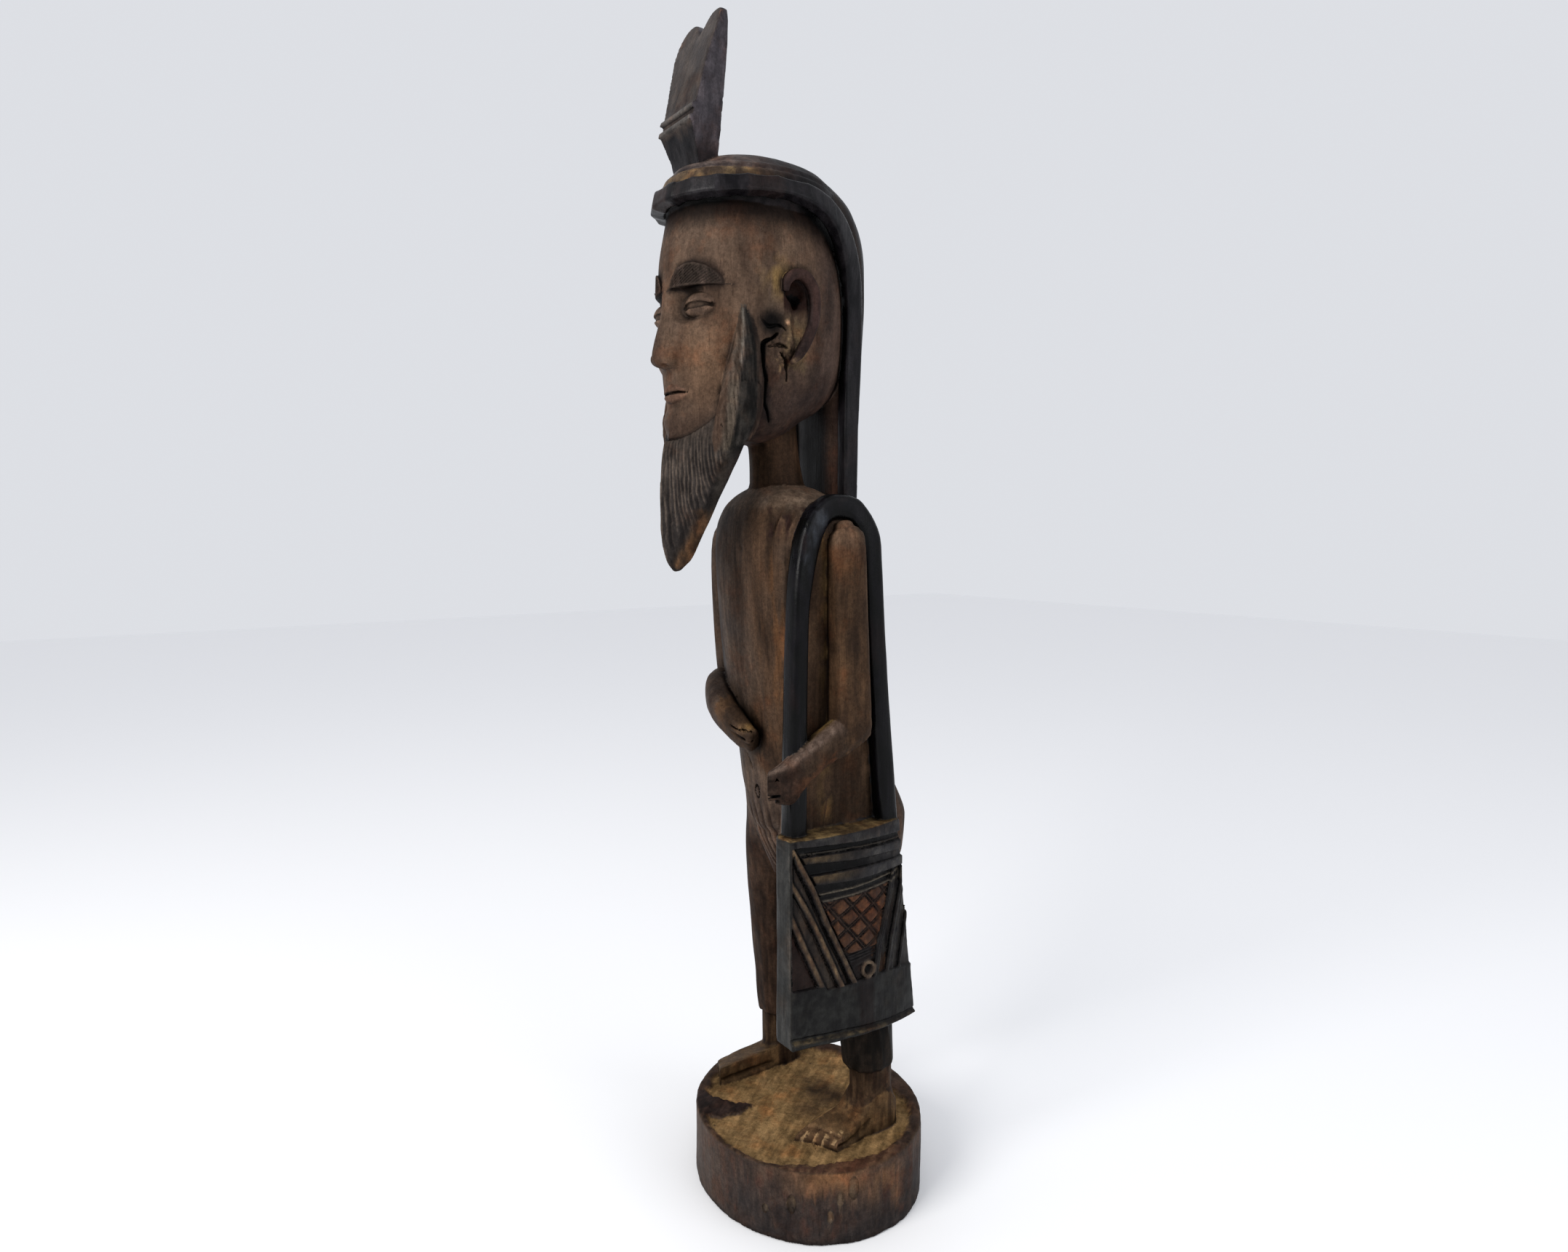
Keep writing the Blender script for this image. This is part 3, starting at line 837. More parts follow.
# ---------------------------------------------------------------- finer cuts
# fingers of the left hand: short cuts across its end
for zc, q in ((263.4, 1.0), (258.4, 0.75), (254.6, 1.0), (251.4, 0.9)):
    cut(limb([[31.8, -54.6, zc - 0.5, 0.85, 2.6, 2], [33.2 + 3.4 * q, -53.6, zc, 0.85, 2.4, 2], [33.2 + 6.6 * q, -52.8, zc + 0.5, 0.7, 2.0, 2], [33.2 + 9.6 * q, -51.2, zc + 1.1, 0.35, 1.0, 2]], [0.6, -0.8, 0]), 0.4)
# the right hand's end is worn; its fingers are only just marked
for zc in (284.5, 280.5, 276.8):
    cut(limb([[-6, -51.5, zc + 2.5, 0.5, 0.9, 2], [0.5, -48.4, zc, 0.8, 1.0, 2], [5.4, -44.3, zc - 1.5, 0.8, 1.1, 2]], [0.3, -0.95, 0]), 1.0)
cut(ellipsoid([4.4, -48.4, 287.0], [3.4, 2.4, 2.6]), 0.8)
# navel: a small ring cut
for a in range(14):
    t = a * math.pi / 7
    cut(ellipsoid([-6.3 + 2.1 * math.cos(t), -32.8, 244.6 + 3.8 * math.sin(t)], [0.8, 1.7, 0.8]), 0.4)
cut(limb([[-13.8, -35.4, 266.5, 0.3, 1.0, 2], [-11.0, -34.9, 261.0, 0.6, 1.6, 2], [-7.6, -34.2, 255.0, 0.3, 1.0, 2]], [0, 1, 0]), 0.4)
# dark marks in the upper chest
cut(limb([[25.4, -36.4, 411, 0.4, 1.0, 2], [24.2, -39.4, 404, 0.6, 1.3, 2], [22.3, -42.2, 395.5, 0.3, 0.9, 2]], [0, 1, 0]), 1.0)
cut(limb([[31.2, -31.8, 411, 0.4, 1.0, 2], [30.6, -34.0, 405.5, 0.6, 1.2, 2], [30.0, -36.4, 399.5, 0.3, 0.9, 2]], [0, 1, 0]), 1.0)
cut(ellipsoid([-3.2, -46.6, 389.0], [2.6, 1.7, 2.2]), 0.8)
# long crack and charred knot behind the beard, left side of the head
CRACK = [[31.6, -44.5, 503], [31.4, -47.6, 500.5], [30.4, -52.4, 497.5], [29.6, -52.4, 491], [29.0, -51.8, 485], [28.4, -49.8, 480.5], [27.4, -49.4, 474.5], [25.8, -48.6, 468],
         [24.2, -46.0, 463.6], [21.0, -42.8, 457.6]]
cut(limb([[x, y, z, w, 4.2, 2] for (x, y, z), w in zip(CRACK, (0.5, 0.9, 1.4, 1.5, 1.0, 1.3, 0.9, 1.0, 0.8, 0.4))], [1, 0, 0], 4), 0.5)
cut(ellipsoid([36.0, -48.6, 508.5], [4.2, 6.6, 6.4]), 2.0)
cut(limb([[33.0, -55.5, 511, 0.7, 2.4, 2], [32.6, -50, 506.5, 1.3, 3.2, 2], [33.0, -44.5, 507.5, 0.8, 2.6, 2], [34.2, -40.5, 505, 0.4, 1.6, 2]], [1, 0, 0]), 0.6)
cut(limb([[31.4, -49.6, 496, 0.7, 2.4, 2], [32.2, -43.5, 497.5, 1.1, 2.8, 2], [33.2, -39.0, 496, 0.6, 2.0, 2]], [1, 0, 0]), 0.6)
cut(limb([[31.2, -42.5, 494, 0.5, 1.8, 2], [30.2, -38.2, 489, 1.3, 2.8, 2], [29.4, -37.0, 484.5, 0.8, 2.2, 2], [28.4, -36.4, 479.5, 0.4, 1.4, 2]], [1, 0, 0]), 0.6)
# shallow check cracks on the hidden sides
cut(limb([[MID - 38.5, -20, 470, 0.35, 1.6, 2], [MID - 40.0, -18, 492, 0.7, 2.4, 2], [MID - 41.3, -17, 515, 0.4, 1.8, 2]], [1, 0, 0]), 0.5)
cut(limb([[-20, 31, 262, 0.4, 1.6, 2], [-22, 33.5, 300, 0.9, 2.6, 2], [-21, 29.5, 345, 0.4, 1.6, 2]], [0, 1, 0]), 0.5)
cut(limb([[-2, 68.2, 0, 0.5, 1.8, 2], [0, 68.2, 22, 0.9, 2.6, 2], [1.5, 68.0, 40, 0.5, 2.0, 2]], [0, 1, 0]), 0.6)


CHIPS = [(50.9, -49.3, 23.2, 1.7, 5.0), (68.1, -27.6, 27.6, 1.3, 3.6), (71.0, -20.6, 32.6, 1.9, 6.4), (65.3, -32.6, 16.9, 0.9, 3.2), (37.6, -58.2, 17.0, 1.1, 2.4)]
for cx_, cy_, cz_, w_, h_ in CHIPS:
    cut(ellipsoid([cx_ * 1.004, cy_ * 1.004, cz_], [w_ + 0.9, w_ + 0.9, h_ + 0.6]), 0.5)


def groin_lines(x, y, z):
    """Long shallow cuts that fan out downwards from the belly's lower lip and run together at the groin."""
    u = x - MID
    c = u - 0.22 * (236.0 - z) - 1.5
    w = 5.0 + 0.30 * np.clip(z - 192.0, 0, 60)
    q = c / w
    g = np.abs((q * 2.6 + 0.12 * noise(z / 11.0, x / 9.0, 0.0, 31)) % 1.0 - 0.5) * 2
    on = smooth01(193, 199, z) * (1 - smooth01(230, 244, z + 0.25 * np.abs(u))) * (1 - smooth01(1.0, 1.3, np.abs(q))) * (y < -13.0 - (z - 192) * 0.20)
    return g, on


def surface_marks(x, y, z):
    """Shallow knife and wear marks all over, mm, added to the distance."""
    m = 0.20 * noise(x / 9.0, y / 9.0, z / 26.0, 71) + 0.10 * noise(x / 3.4, y / 3.4, z / 12.0, 72)
    # rough, torn wood behind the beard on the left side
    rough = np.exp(-(((y + 43.0) / 8.5) ** 2 + ((z - 493.0) / 17.0) ** 2)) * (x > 22)
    m = m + rough * (0.9 * noise(y / 2.2, z / 4.4, x / 3.0, 73) + 0.7 * noise(y / 1.1, z / 1.8, x / 2.0, 74))
    g, on = groin_lines(x, y, z)
    m = m + 0.9 * smooth01(0.45, 1.0, g) * on
    # lower lip of the belly
    u = x - MID
    lip = z - (221.0 + 0.020 * (u - 2.0) ** 2)
    m = m + (0.9 * np.exp(-((lip + 1.2) / 2.2) ** 2) - 0.7 * np.exp(-((lip - 4.0) / 4.5) ** 2)) * (y < -12) * (1 - smooth01(12, 18, np.abs(u - 2)))
    # tool marks on the base's side
    th = np.arctan2(y, x)
    r = np.hypot(x / BASE_RX, y / BASE_RY)
    side = smooth01(0.93, 0.97, r) * smooth01(2, 5, z) * (1 - smooth01(39, 42, z))
    m = m + side * (0.28 * noise(th * 9.0, z / 30.0, 0.0, 75) + 0.16 * noise(th * 30.0, z / 16.0, 0.0, 76))
    # long flats on the arms and the chest
    m = m + 0.25 * noise(x / 6.5, y / 6.5, z / 60.0, 77) * (z > 225) * (z < 425)
    return m


def field(x, y, z, fine=True):
    FINE[0] = fine
    F = run_ops(x, y, z, fine)
    return F + surface_marks(x, y, z) if fine else F


# ---------------------------------------------------------------- surface from the distance field
def grid_field():
    lo = np.array([-80.0, -106.0, -4.0])
    hi = np.array([80.0, 74.0, 678.0])
    n = np.ceil((hi - lo) / STEP).astype(int)
    ax = [lo[i] + STEP * np.arange(n[i]) + 0.37 * STEP for i in range(3)]
    F = np.full(n, 12.0, np.float32)
    for kind, name, s, k in OPS:
        g = k + 3.0
        sl = [slice(max(0, int((s.lo[i] - g - lo[i]) / STEP)), min(n[i], int((s.hi[i] + g - lo[i]) / STEP) + 2)) for i in range(3)]
        for z0 in range(sl[2].start, sl[2].stop, 48):
            sz = slice(z0, min(z0 + 48, sl[2].stop))
            X, Y, Z = np.meshgrid(ax[0][sl[0]], ax[1][sl[1]], ax[2][sz], indexing="ij")
            d = s.f(X, Y, Z)
            old = F[sl[0], sl[1], sz]
            F[sl[0], sl[1], sz] = smin(old, d, k) if kind == "add" else smax(old, -d, k)
    return F, ax


def surface_nets(F, ax):
    ins = F < 0
    c = np.zeros(tuple(np.array(F.shape) - 1), np.uint8)
    for a in (0, 1):
        for b in (0, 1):
            for d in (0, 1):
                c += ins[a:a + c.shape[0], b:b + c.shape[1], d:d + c.shape[2]]
    cells = np.argwhere((c > 0) & (c < 8))
    vid = np.full(c.shape, -1, np.int32)
    vid[cells[:, 0], cells[:, 1], cells[:, 2]] = np.arange(len(cells))
    val = {}
    for a in (0, 1):
        for b in (0, 1):
            for d in (0, 1):
                val[a, b, d] = F[cells[:, 0] + a, cells[:, 1] + b, cells[:, 2] + d].astype(float)
    acc = np.zeros((len(cells), 3))
    cnt = np.zeros(len(cells))
    corners = list(val)
    for p in corners:
        for axis in range(3):
            if p[axis]:
                continue
            q = list(p)
            q[axis] = 1
            q = tuple(q)
            v0, v1 = val[p], val[q]
            m = (v0 < 0) != (v1 < 0)
            t = np.where(m, v0 / np.where(m, v0 - v1, 1), 0)
            for i in range(3):
                acc[:, i] += m * (p[i] + (t if i == axis else 0))
            cnt += m
    pos = (cells + acc / cnt[:, None]) * STEP + np.array([a[0] for a in ax])
    quads = []
    for axis in range(3):
        o1, o2 = (axis + 1) % 3, (axis + 2) % 3
        n = np.array(F.shape)
        sl0, sl1 = [slice(1, -1)] * 3, [slice(1, -1)] * 3
        sl0[axis], sl1[axis] = slice(0, -1), slice(1, None)
        i0, i1 = ins[tuple(sl0)], ins[tuple(sl1)]
        e = np.argwhere(i0 != i1)
        out = i0[tuple(e.T)]
        e = e + [0 if i == axis else 1 for i in range(3)]
        d1, d2 = np.zeros(3, int), np.zeros(3, int)
        d1[o1], d2[o2] = 1, 1
        ids = [vid[tuple((e - a * d1 - b * d2).T)] for a, b in ((0, 0), (1, 0), (1, 1), (0, 1))]
        q = np.stack(ids, 1)
        q[~out] = q[~out][:, ::-1]
        quads.append(q)
    q = np.vstack(quads)
    q = q[(q >= 0).all(1)]
    d02 = ((pos[q[:, 0]] - pos[q[:, 2]]) ** 2).sum(1)
    d13 = ((pos[q[:, 1]] - pos[q[:, 3]]) ** 2).sum(1)
    s = d02 <= d13
    tri = np.vstack([q[s][:, [0, 1, 2]], q[s][:, [0, 2, 3]], q[~s][:, [0, 1, 3]], q[~s][:, [1, 2, 3]]])
    return pos, tri


def biggest(pos, tri):
    """Keep the one large connected surface."""
    lab = np.arange(len(pos))
    while True:
        m = lab[tri].min(1)
        new = lab.copy()
        for i in range(3):
            np.minimum.at(new, tri[:, i], m)
        new = new[new]
        if (new == lab).all():
            break
        lab = new
    ids, cnt = np.unique(lab[tri[:, 0]], return_counts=True)
    keep = lab[tri[:, 0]] == ids[cnt.argmax()]
    tri = tri[keep]
    used = np.unique(tri)
    idx = np.full(len(pos), -1)
    idx[used] = np.arange(len(used))
    return pos[used], idx[tri]


def normals(pos, tri):
    a, b, c = pos[tri[:, 0]], pos[tri[:, 1]], pos[tri[:, 2]]
    n = np.cross(b - a, c - a)
    out = np.zeros_like(pos)
    for i in range(3):
        for k in range(3):
            out[:, k] += np.bincount(tri[:, i], n[:, k], len(pos))
    return out / (np.linalg.norm(out, axis=1, keepdims=True) + 1e-12)


def subdivide(pos, tri, mark):
    """Split every triangle whose three corners are marked into four, and its neighbours to match."""
    full = mark[tri].all(1)
    e = np.sort(np.stack([tri[:, [0, 1]], tri[:, [1, 2]], tri[:, [2, 0]]], 1), 2)
    key = e[..., 0].astype(np.int64) * len(pos) + e[..., 1]
    split = np.unique(key[full])
    at = np.searchsorted(split, key)
    at = np.clip(at, 0, len(split) - 1)
    has = split[at] == key
    mid = np.where(has, at + len(pos), -1)
    ends = np.stack([split // len(pos), split % len(pos)], 1)
    pos = np.vstack([pos, pos[ends].mean(1)])
    cnt = has.sum(1)
    out = [tri[cnt == 0]]
    t, m = tri[cnt == 3], mid[cnt == 3]
    out += [np.stack([t[:, 0], m[:, 0], m[:, 2]], 1), np.stack([m[:, 0], t[:, 1], m[:, 1]], 1),
            np.stack([m[:, 2], m[:, 1], t[:, 2]], 1), m]
    for k in range(3):
        s = (cnt == 1) & has[:, k]
        t, m = tri[s], mid[s, k]
        a, b, c = t[:, k], t[:, (k + 1) % 3], t[:, (k + 2) % 3]
        out += [np.stack([a, m, c], 1), np.stack([m, b, c], 1)]
        s = (cnt == 2) & ~has[:, k]
        t = tri[s]
        a, b, c = t[:, k], t[:, (k + 1) % 3], t[:, (k + 2) % 3]
        mb, mc = mid[s, (k + 1) % 3], mid[s, (k + 2) % 3]
        out += [np.stack([a, b, mb], 1), np.stack([a, mb, mc], 1), np.stack([mc, mb, c], 1)]
    return pos, np.vstack(out)


def region(p):
    """Where the carving is fine."""
    x, y, z = p.T
    m = (z > 374) & (z < 540) & (y < -22) & (x > MID - 44)
    m &= ~((x < MID - 20) & (z < 520) & (y > -70))
    m |= (x > 43) & (z > 103) & (z < 233) & (y < 50)
    m |= (z > 560) & (z < 604) & (y < 5) & (x > -34)
    m |= (z > 606) & (y < -60) & (z < 624)
    m |= (x > 24) & (y < -38) & (z > 240) & (z < 278)
    m |= (np.abs(x) < 14) & (y < -36) & (z > 268) & (z < 296)
    m |= (z > 190) & (z < 252) & (y < -16) & (np.abs(x - MID) < 22)
    m |= (x > 24) & (x < 56) & (y < 4) & (z > 40) & (z < 60)
    m |= (x > 34) & (y < -14) & (z > 8) & (z < 42)
    m |= (x > 14) & (y < -28) & (z > 392) & (z < 414)
    return m


def project(pos, tri, steps=2):
    for _ in range(steps):
        n = normals(pos, tri)
        f0 = field(*pos.T)
        t1 = np.clip(-0.8 * f0, -1.2, 1.2)
        f1 = field(*(pos + n * t1[:, None]).T)
        den = f1 - f0
        g = np.where(np.abs(den) > 0.05 * np.abs(t1) + 1e-6, -f0 * t1 / np.where(np.abs(den) < 1e-6, 1, den), t1)
        pos = pos + n * np.clip(g, -1.3, 1.3)[:, None]
    return pos


def relax(pos, tri, amount=0.35):
    """Even out the vertices along the surface."""
    n = normals(pos, tri)
    acc = np.zeros_like(pos)
    cnt = np.zeros(len(pos))
    for i in range(3):
        j = (i + 1) % 3
        for k in range(3):
            acc[:, k] += np.bincount(tri[:, i], pos[tri[:, j], k], len(pos))
        cnt += np.bincount(tri[:, i], minlength=len(pos))
    d = acc / np.maximum(cnt, 1)[:, None] - pos
    d -= n * (d * n).sum(1, keepdims=True)
    return pos + amount * d


F, AX = grid_field()
print("field", F.shape, round(time.time() - T0, 1))
pos, tri = surface_nets(F, AX)
del F
pos, tri = biggest(pos, tri)
print("surface", len(tri), round(time.time() - T0, 1))
pos, tri = subdivide(pos, tri, region(pos))
pos = relax(pos, tri)
pos = project(pos, tri, 1)
pos = relax(pos, tri, 0.25)
pos = project(pos, tri, 1)
print("carved", len(tri), round(time.time() - T0, 1))

mesh = bpy.data.meshes.new("figure_carving")
mesh.vertices.add(len(pos))
mesh.vertices.foreach_set("co", (pos / 1000.0).astype(np.float32).ravel())
mesh.loops.add(len(tri) * 3)
mesh.loops.foreach_set("vertex_index", tri.astype(np.int32).ravel())
mesh.polygons.add(len(tri))
mesh.polygons.foreach_set("loop_start", np.arange(0, len(tri) * 3, 3, dtype=np.int32))
mesh.polygons.foreach_set("loop_total", np.full(len(tri), 3, np.int32))
mesh.update(calc_edges=True)
mesh.validate()
figure = bpy.data.objects.new("figure_carving", mesh)
bpy.context.scene.collection.objects.link(figure)

dec = figure.modifiers.new("thin", "DECIMATE")
dec.ratio = min(1.0, TARGET / len(tri))
dg = bpy.context.evaluated_depsgraph_get()
done = bpy.data.meshes.new_from_object(figure.evaluated_get(dg), depsgraph=dg)
figure.modifiers.clear()
figure.data = done
bpy.data.meshes.remove(mesh)
mesh = figure.data
mesh.name = "figure_carving"
print("thinned", len(mesh.polygons), round(time.time() - T0, 1))

# ---------------------------------------------------------------- masks for the finish
n = len(mesh.vertices)
co = np.empty(n * 3, np.float32)
mesh.vertices.foreach_get("co", co)
P = co.reshape(-1, 3).astype(float) * 1000.0
nr = np.empty(n * 3, np.float32)
mesh.vertices.foreach_get("normal", nr)
N = nr.reshape(-1, 3).astype(float)
x, y, z = P.T
FINE[0] = True
near = {}
for kind, name, s, k in OPS:
    if kind != "add":
        continue
    g = 2.5
    m = np.nonzero((x > s.lo[0] - g) & (x < s.hi[0] + g) & (y > s.lo[1] - g) & (y < s.hi[1] + g)
                   & (z > s.lo[2] - g) & (z < s.hi[2] + g))[0]
    near.setdefault(name, np.full(n, 9.0))
    if len(m):
        near[name][m] = np.minimum(near[name][m], np.abs(s.f(x[m], y[m], z[m])))
names = list(near)
D = np.stack([near[k] for k in names], 1)
lab = D.argmin(1)


def is_(*which):
    return np.isin(lab, [names.index(w) for w in which]).astype(float)


# how deep in a hollow, and how far out on an edge
h1 = np.clip(1 - field(*(P + N * 1.4).T, True) / 1.4, 0, 1)
h2 = np.clip(1 - field(*(P + N * 3.4).T, False) / 3.4, 0, 1)
h3 = np.clip(1 - field(*(P + N * 9.0).T, False) / 9.0, 0, 1)
hollow = np.clip(0.40 * h1 + 0.35 * h2 + 0.25 * h3, 0, 1)
edge = np.clip(1 + field(*(P - N * 2.0).T, False) / 2.0, 0, 1)

front, side, top = -N[:, 1], N[:, 0], N[:, 2]
nA = fbm(x / 20, y / 20, z / 46, 201)
nB = fbm(x / 7, y / 7, z / 26, 202)
nC = fbm(x / 2.6, y / 2.6, z / 8, 203)
nD = fbm(x / 3.4, y / 3.4, z / 3.4, 204)
hiA, hiB, hiC, hiD = (smooth01(-0.32, 0.32, q) for q in (nA, nB, nC, nD))
on_skin = is_("trunk", "apron", "pad", "neck", "skull", "arm", "forearm", "leg", "ankle", "nose", "lip", "lid", "eye", "brow", "ear", "foot")
tint = np.tile(np.array([66.0, 52.0, 43.0]), (n, 1))


def paint(mask, c, c2=None, by=None):
    """Lay a colour (0-255, as it looks in even light) over the finish where the mask is; c2 comes in with `by`."""
    m = np.clip(mask, 0, 1)[:, None]
    col = np.array(c, float)[None, :]
    if c2 is not None:
        b = np.clip(by, 0, 1)[:, None]
        col = col * (1 - b) + np.array(c2, float)[None, :] * b
    tint[:] = tint * (1 - m) + col * m


def shade(mask, k):
    m = np.clip(mask, 0, 1)[:, None]
    tint[:] = tint * (1 - m + k * m)


# trunk and neck
trunk = is_("trunk", "apron", "pad")
paint(trunk, (50, 38, 30), (74, 56, 43), hiB)
paint(trunk * 0.45 * hiA, (66, 57, 51))
paint(trunk * (1 - smooth01(-26, 6, x)) * smooth01(250, 270, z) * smooth01(0.0, 0.5, front) * 0.75, (44, 38, 35), (60, 53, 49), hiB)
paint(trunk * smooth01(398, 412, z) * smooth01(0.2, 0.8, top) * 0.8, (74, 62, 52), (96, 84, 72), hiD)
streakv = fbm(x / 2.2, y / 2.2, z / 42.0, 206)
paint(trunk * np.exp(-(((x - 25.0) / 12.0) ** 2)) * smooth01(268, 290, z) * (1 - smooth01(376, 396, z)) * smooth01(-0.1, 0.25, streakv) * 0.7, (92, 63, 41))
paint(trunk * (x > 17) * (x < 35) * (y < -24) * smooth01(392, 397, z) * (1 - smooth01(410, 414, z)) * smooth01(0.0, 0.3, fbm(x / 1.6, y / 3.0, z / 24.0, 207)) * 0.75, (40, 27, 25))
paint(trunk * np.exp(-((x + 21.0) / 8.0) ** 2) * smooth01(282, 292, z) * (1 - smooth01(326, 344, z)) * 0.6, (82, 67, 56), (100, 82, 67), hiB)
paint(trunk * smooth01(408, 420, z) * 0.7, (88, 72, 60), (112, 93, 78), hiB)
paint(trunk * (z < 258) * (z > 196) * smooth01(-0.2, 0.4, front) * 0.6, (70, 58, 51), (92, 78, 68), hiB)
paint(trunk * (1 - smooth01(196, 214, z)) * 0.7, (44, 34, 31))
gl, gon = groin_lines(x, y, z)
paint(trunk * gon * smooth01(0.62, 0.95, gl) * 0.7, (34, 27, 25))
paint(trunk * gon * (1 - smooth01(0.12, 0.5, gl)) * 0.5, (100, 86, 76))
back = trunk * smooth01(0.2, 0.7, N[:, 1])
paint(back * 0.7, (58, 48, 42), (80, 68, 59), hiB)
paint(is_("neck"), (46, 35, 27), (62, 46, 35), hiB)
# head
skull = is_("skull")
head = is_("skull", "nose", "lip", "lid", "eye", "brow")
face = head * smooth01(-48, -66, y)
paint(skull, (74, 59, 49), (92, 74, 61), hiB)
paint(skull * (1 - smooth01(470, 498, z)) * (y > -58), (44, 36, 34), (62, 49, 43), hiB)
paint(skull * smooth01(486, 508, z) * (y > -32) * smooth01(0.3, 0.6, hiB) * 0.35, (100, 76, 60))
paint(skull * smooth01(-26, -8, y) * 0.75, (52, 42, 38), (70, 56, 50), hiB)
paint(skull * (y > -62) * smooth01(0.1, 0.5, nA) * 0.35, (66, 58, 54))
paint(face, (68, 54, 45), (88, 71, 59), hiB)
paint(face * smooth01(-6, 14, x) * (1 - smooth01(24, 32, x)) * np.exp(-((z - 488) / 24.0) ** 2) * 0.6, (112, 86, 66))
paint(face * (1 - smooth01(456, 464, z)) * 0.5, (56, 44, 38))
paint(face * smooth01(540, 556, z) * 0.4, (96, 80, 68))
paint(is_("lip") * 0.6, (92, 68, 56))
paint(is_("lid") * 0.5, (88, 72, 62))
paint(is_("eye") * 0.5, (70, 58, 50))
brow = is_("brow")
paint(brow, (50, 42, 37), (66, 55, 49), hiC)
bu = np.abs(x - MID)
b_top = BROW_Z + 12.0 * np.sqrt(np.maximum(0.0, 1 - ((bu - 18.0) / 13.2) ** 2))
b_in = np.minimum(b_top - z, z - BROW_Z)
b_cut = smooth01(0.4, 0.9, np.abs((bu * 0.50 - (z - BROW_Z) * 0.62) % 1.0 - 0.5) * 2)
paint(head * (y < -60) * np.exp(-((b_in + 0.5) / 0.8) ** 2) * (np.abs(bu - 18) < 13.4) * 0.75, (34, 27, 24))
paint(brow * b_cut * smooth01(0.8, 1.8, b_in) * 0.75, (30, 25, 23))
paint(skull * smooth01(552, 566, z + 0.02 * np.maximum(0, y + 50) ** 1.5 + 1.5 * nA) * 0.85, (20, 16, 15))
ear_d = np.exp(-(((y + 45.0) / 8.0) ** 2 + ((z - 531.0) / 9.0) ** 2)) * (x > 22) * skull
paint(ear_d * smooth01(0.15, 0.5, hiD) * 0.95, (104, 82, 52), (132, 106, 66), hiD)
paint(is_("ear"), (40, 32, 31), (62, 46, 42), hiB)
well = skull * (np.abs(x - MID) > 32) * (y > -42) * (y < -24) * (z < 532) * (z > 486)
paint(well * smooth01(511, 518, z), (36, 25, 22))
paint(well * (1 - smooth01(509, 516, z)), (74, 60, 48), (98, 82, 62), hiC)
paint((np.hypot(y + 33.8, z - 522.0) < 3.4) * well, (10, 8, 8))
# beard
beard = is_("beard")
u = x - MID
lines = smooth01(0.5, 0.95, np.abs((u / 1.75 + 0.5 * noise(z / 16.0, u / 7.0, 0.0, 41) + 0.25 * noise(z / 5.0, u / 2.0, 0.0, 42)) % 1.0 - 0.5) * 2)
paint(beard, (62, 55, 50), (84, 74, 66), hiC)
paint(beard * lines * (z < 470) * 0.55, (36, 31, 29))
paint(beard * smooth01(0.45, 0.8, side) * (z < 448) * 0.85, (28, 26, 26), (42, 39, 38), hiC)
paint(beard * smooth01(438, 450, z) * (np.abs(x - MID) < 26) * 0.5, (44, 38, 34))
ur, yr_, um, ym = lookup(SIDE, z)[2:6]
strip = beard * (z > 441) * (np.abs(u) > 26)
paint(strip * smooth01(0.2, 2.0, y - yr_), (28, 27, 26), (48, 45, 42), hiC)
paint(strip * smooth01(0.5, 3.0, y - ym) * 0.8, (46, 37, 33), (62, 50, 43), hiC)
grey = smooth01(-0.25, 0.3, fbm(y / 1.1, x / 1.1, z / 24.0, 208))
paint(strip * (y < yr_ + 0.3) * 0.9, (58, 50, 43), (88, 78, 68), grey)
paint(strip * (y < yr_ + 0.3) * smooth01(2.4, 4.4, yr_ - y) * 0.5, (70, 50, 40))
paint(strip * np.exp(-((y - yr_) / 0.7) ** 2) * (z > 486) * 0.6, (104, 102, 96))
paint(beard * (z < 448) * np.exp(-((y + 72 - 0.0 * z) / 3.0) ** 2) * smooth01(0.2, 0.6, side) * 0.3, (80, 74, 64))
chip = beard * np.exp(-((x - np.interp(z, [380, 396, 406], [-3.9, 3.8, 8.3])) / 1.6) ** 2) * (z > 378) * (z < 410) * (y > -90)
paint(chip * (0.35 + 0.5 * hiC), (104, 74, 50))
# knot and crack behind the beard
burn = np.exp(-(((y + 48.2) / 7.0) ** 2 + ((z - 508.5) / 6.5) ** 2) ** 1.5) * (x > 20)
cy = np.interp(-z, [-503, -500.5, -497.5, -491, -485, -480.5, -474.5, -468, -463.6, -457.6], [-44.5, -47.6, -52.4, -52.4, -51.8, -49.8, -49.4, -48.6, -46.0, -42.8])
burn = np.maximum(burn, 0.9 * np.exp(-((y - cy) / 2.0) ** 2) * smooth01(455, 460, z) * (1 - smooth01(500, 505, z)) * (x > 16))
roughw = np.exp(-(((y + 42.5) / 7.5) ** 2 + ((z - 490.0) / 16.0) ** 2)) * (x > 20)
paint(roughw * hiD * 0.8, (70, 56, 46), (112, 92, 68), smooth01(0.2, 0.5, nD))
paint(burn * 1.1, (20, 18, 17))
paint(np.exp(-(((y + 39.7) / 1.3) ** 2 + ((z - 509.0) / 1.3) ** 2) ** 2) * (x > 24), (168, 132, 104))
paint(np.exp(-(((y + 35.6) / 1.8) ** 2 + ((z - 490.0) / 1.8) ** 2)) * (x > 22) * skull * 0.8, (48, 22, 17))
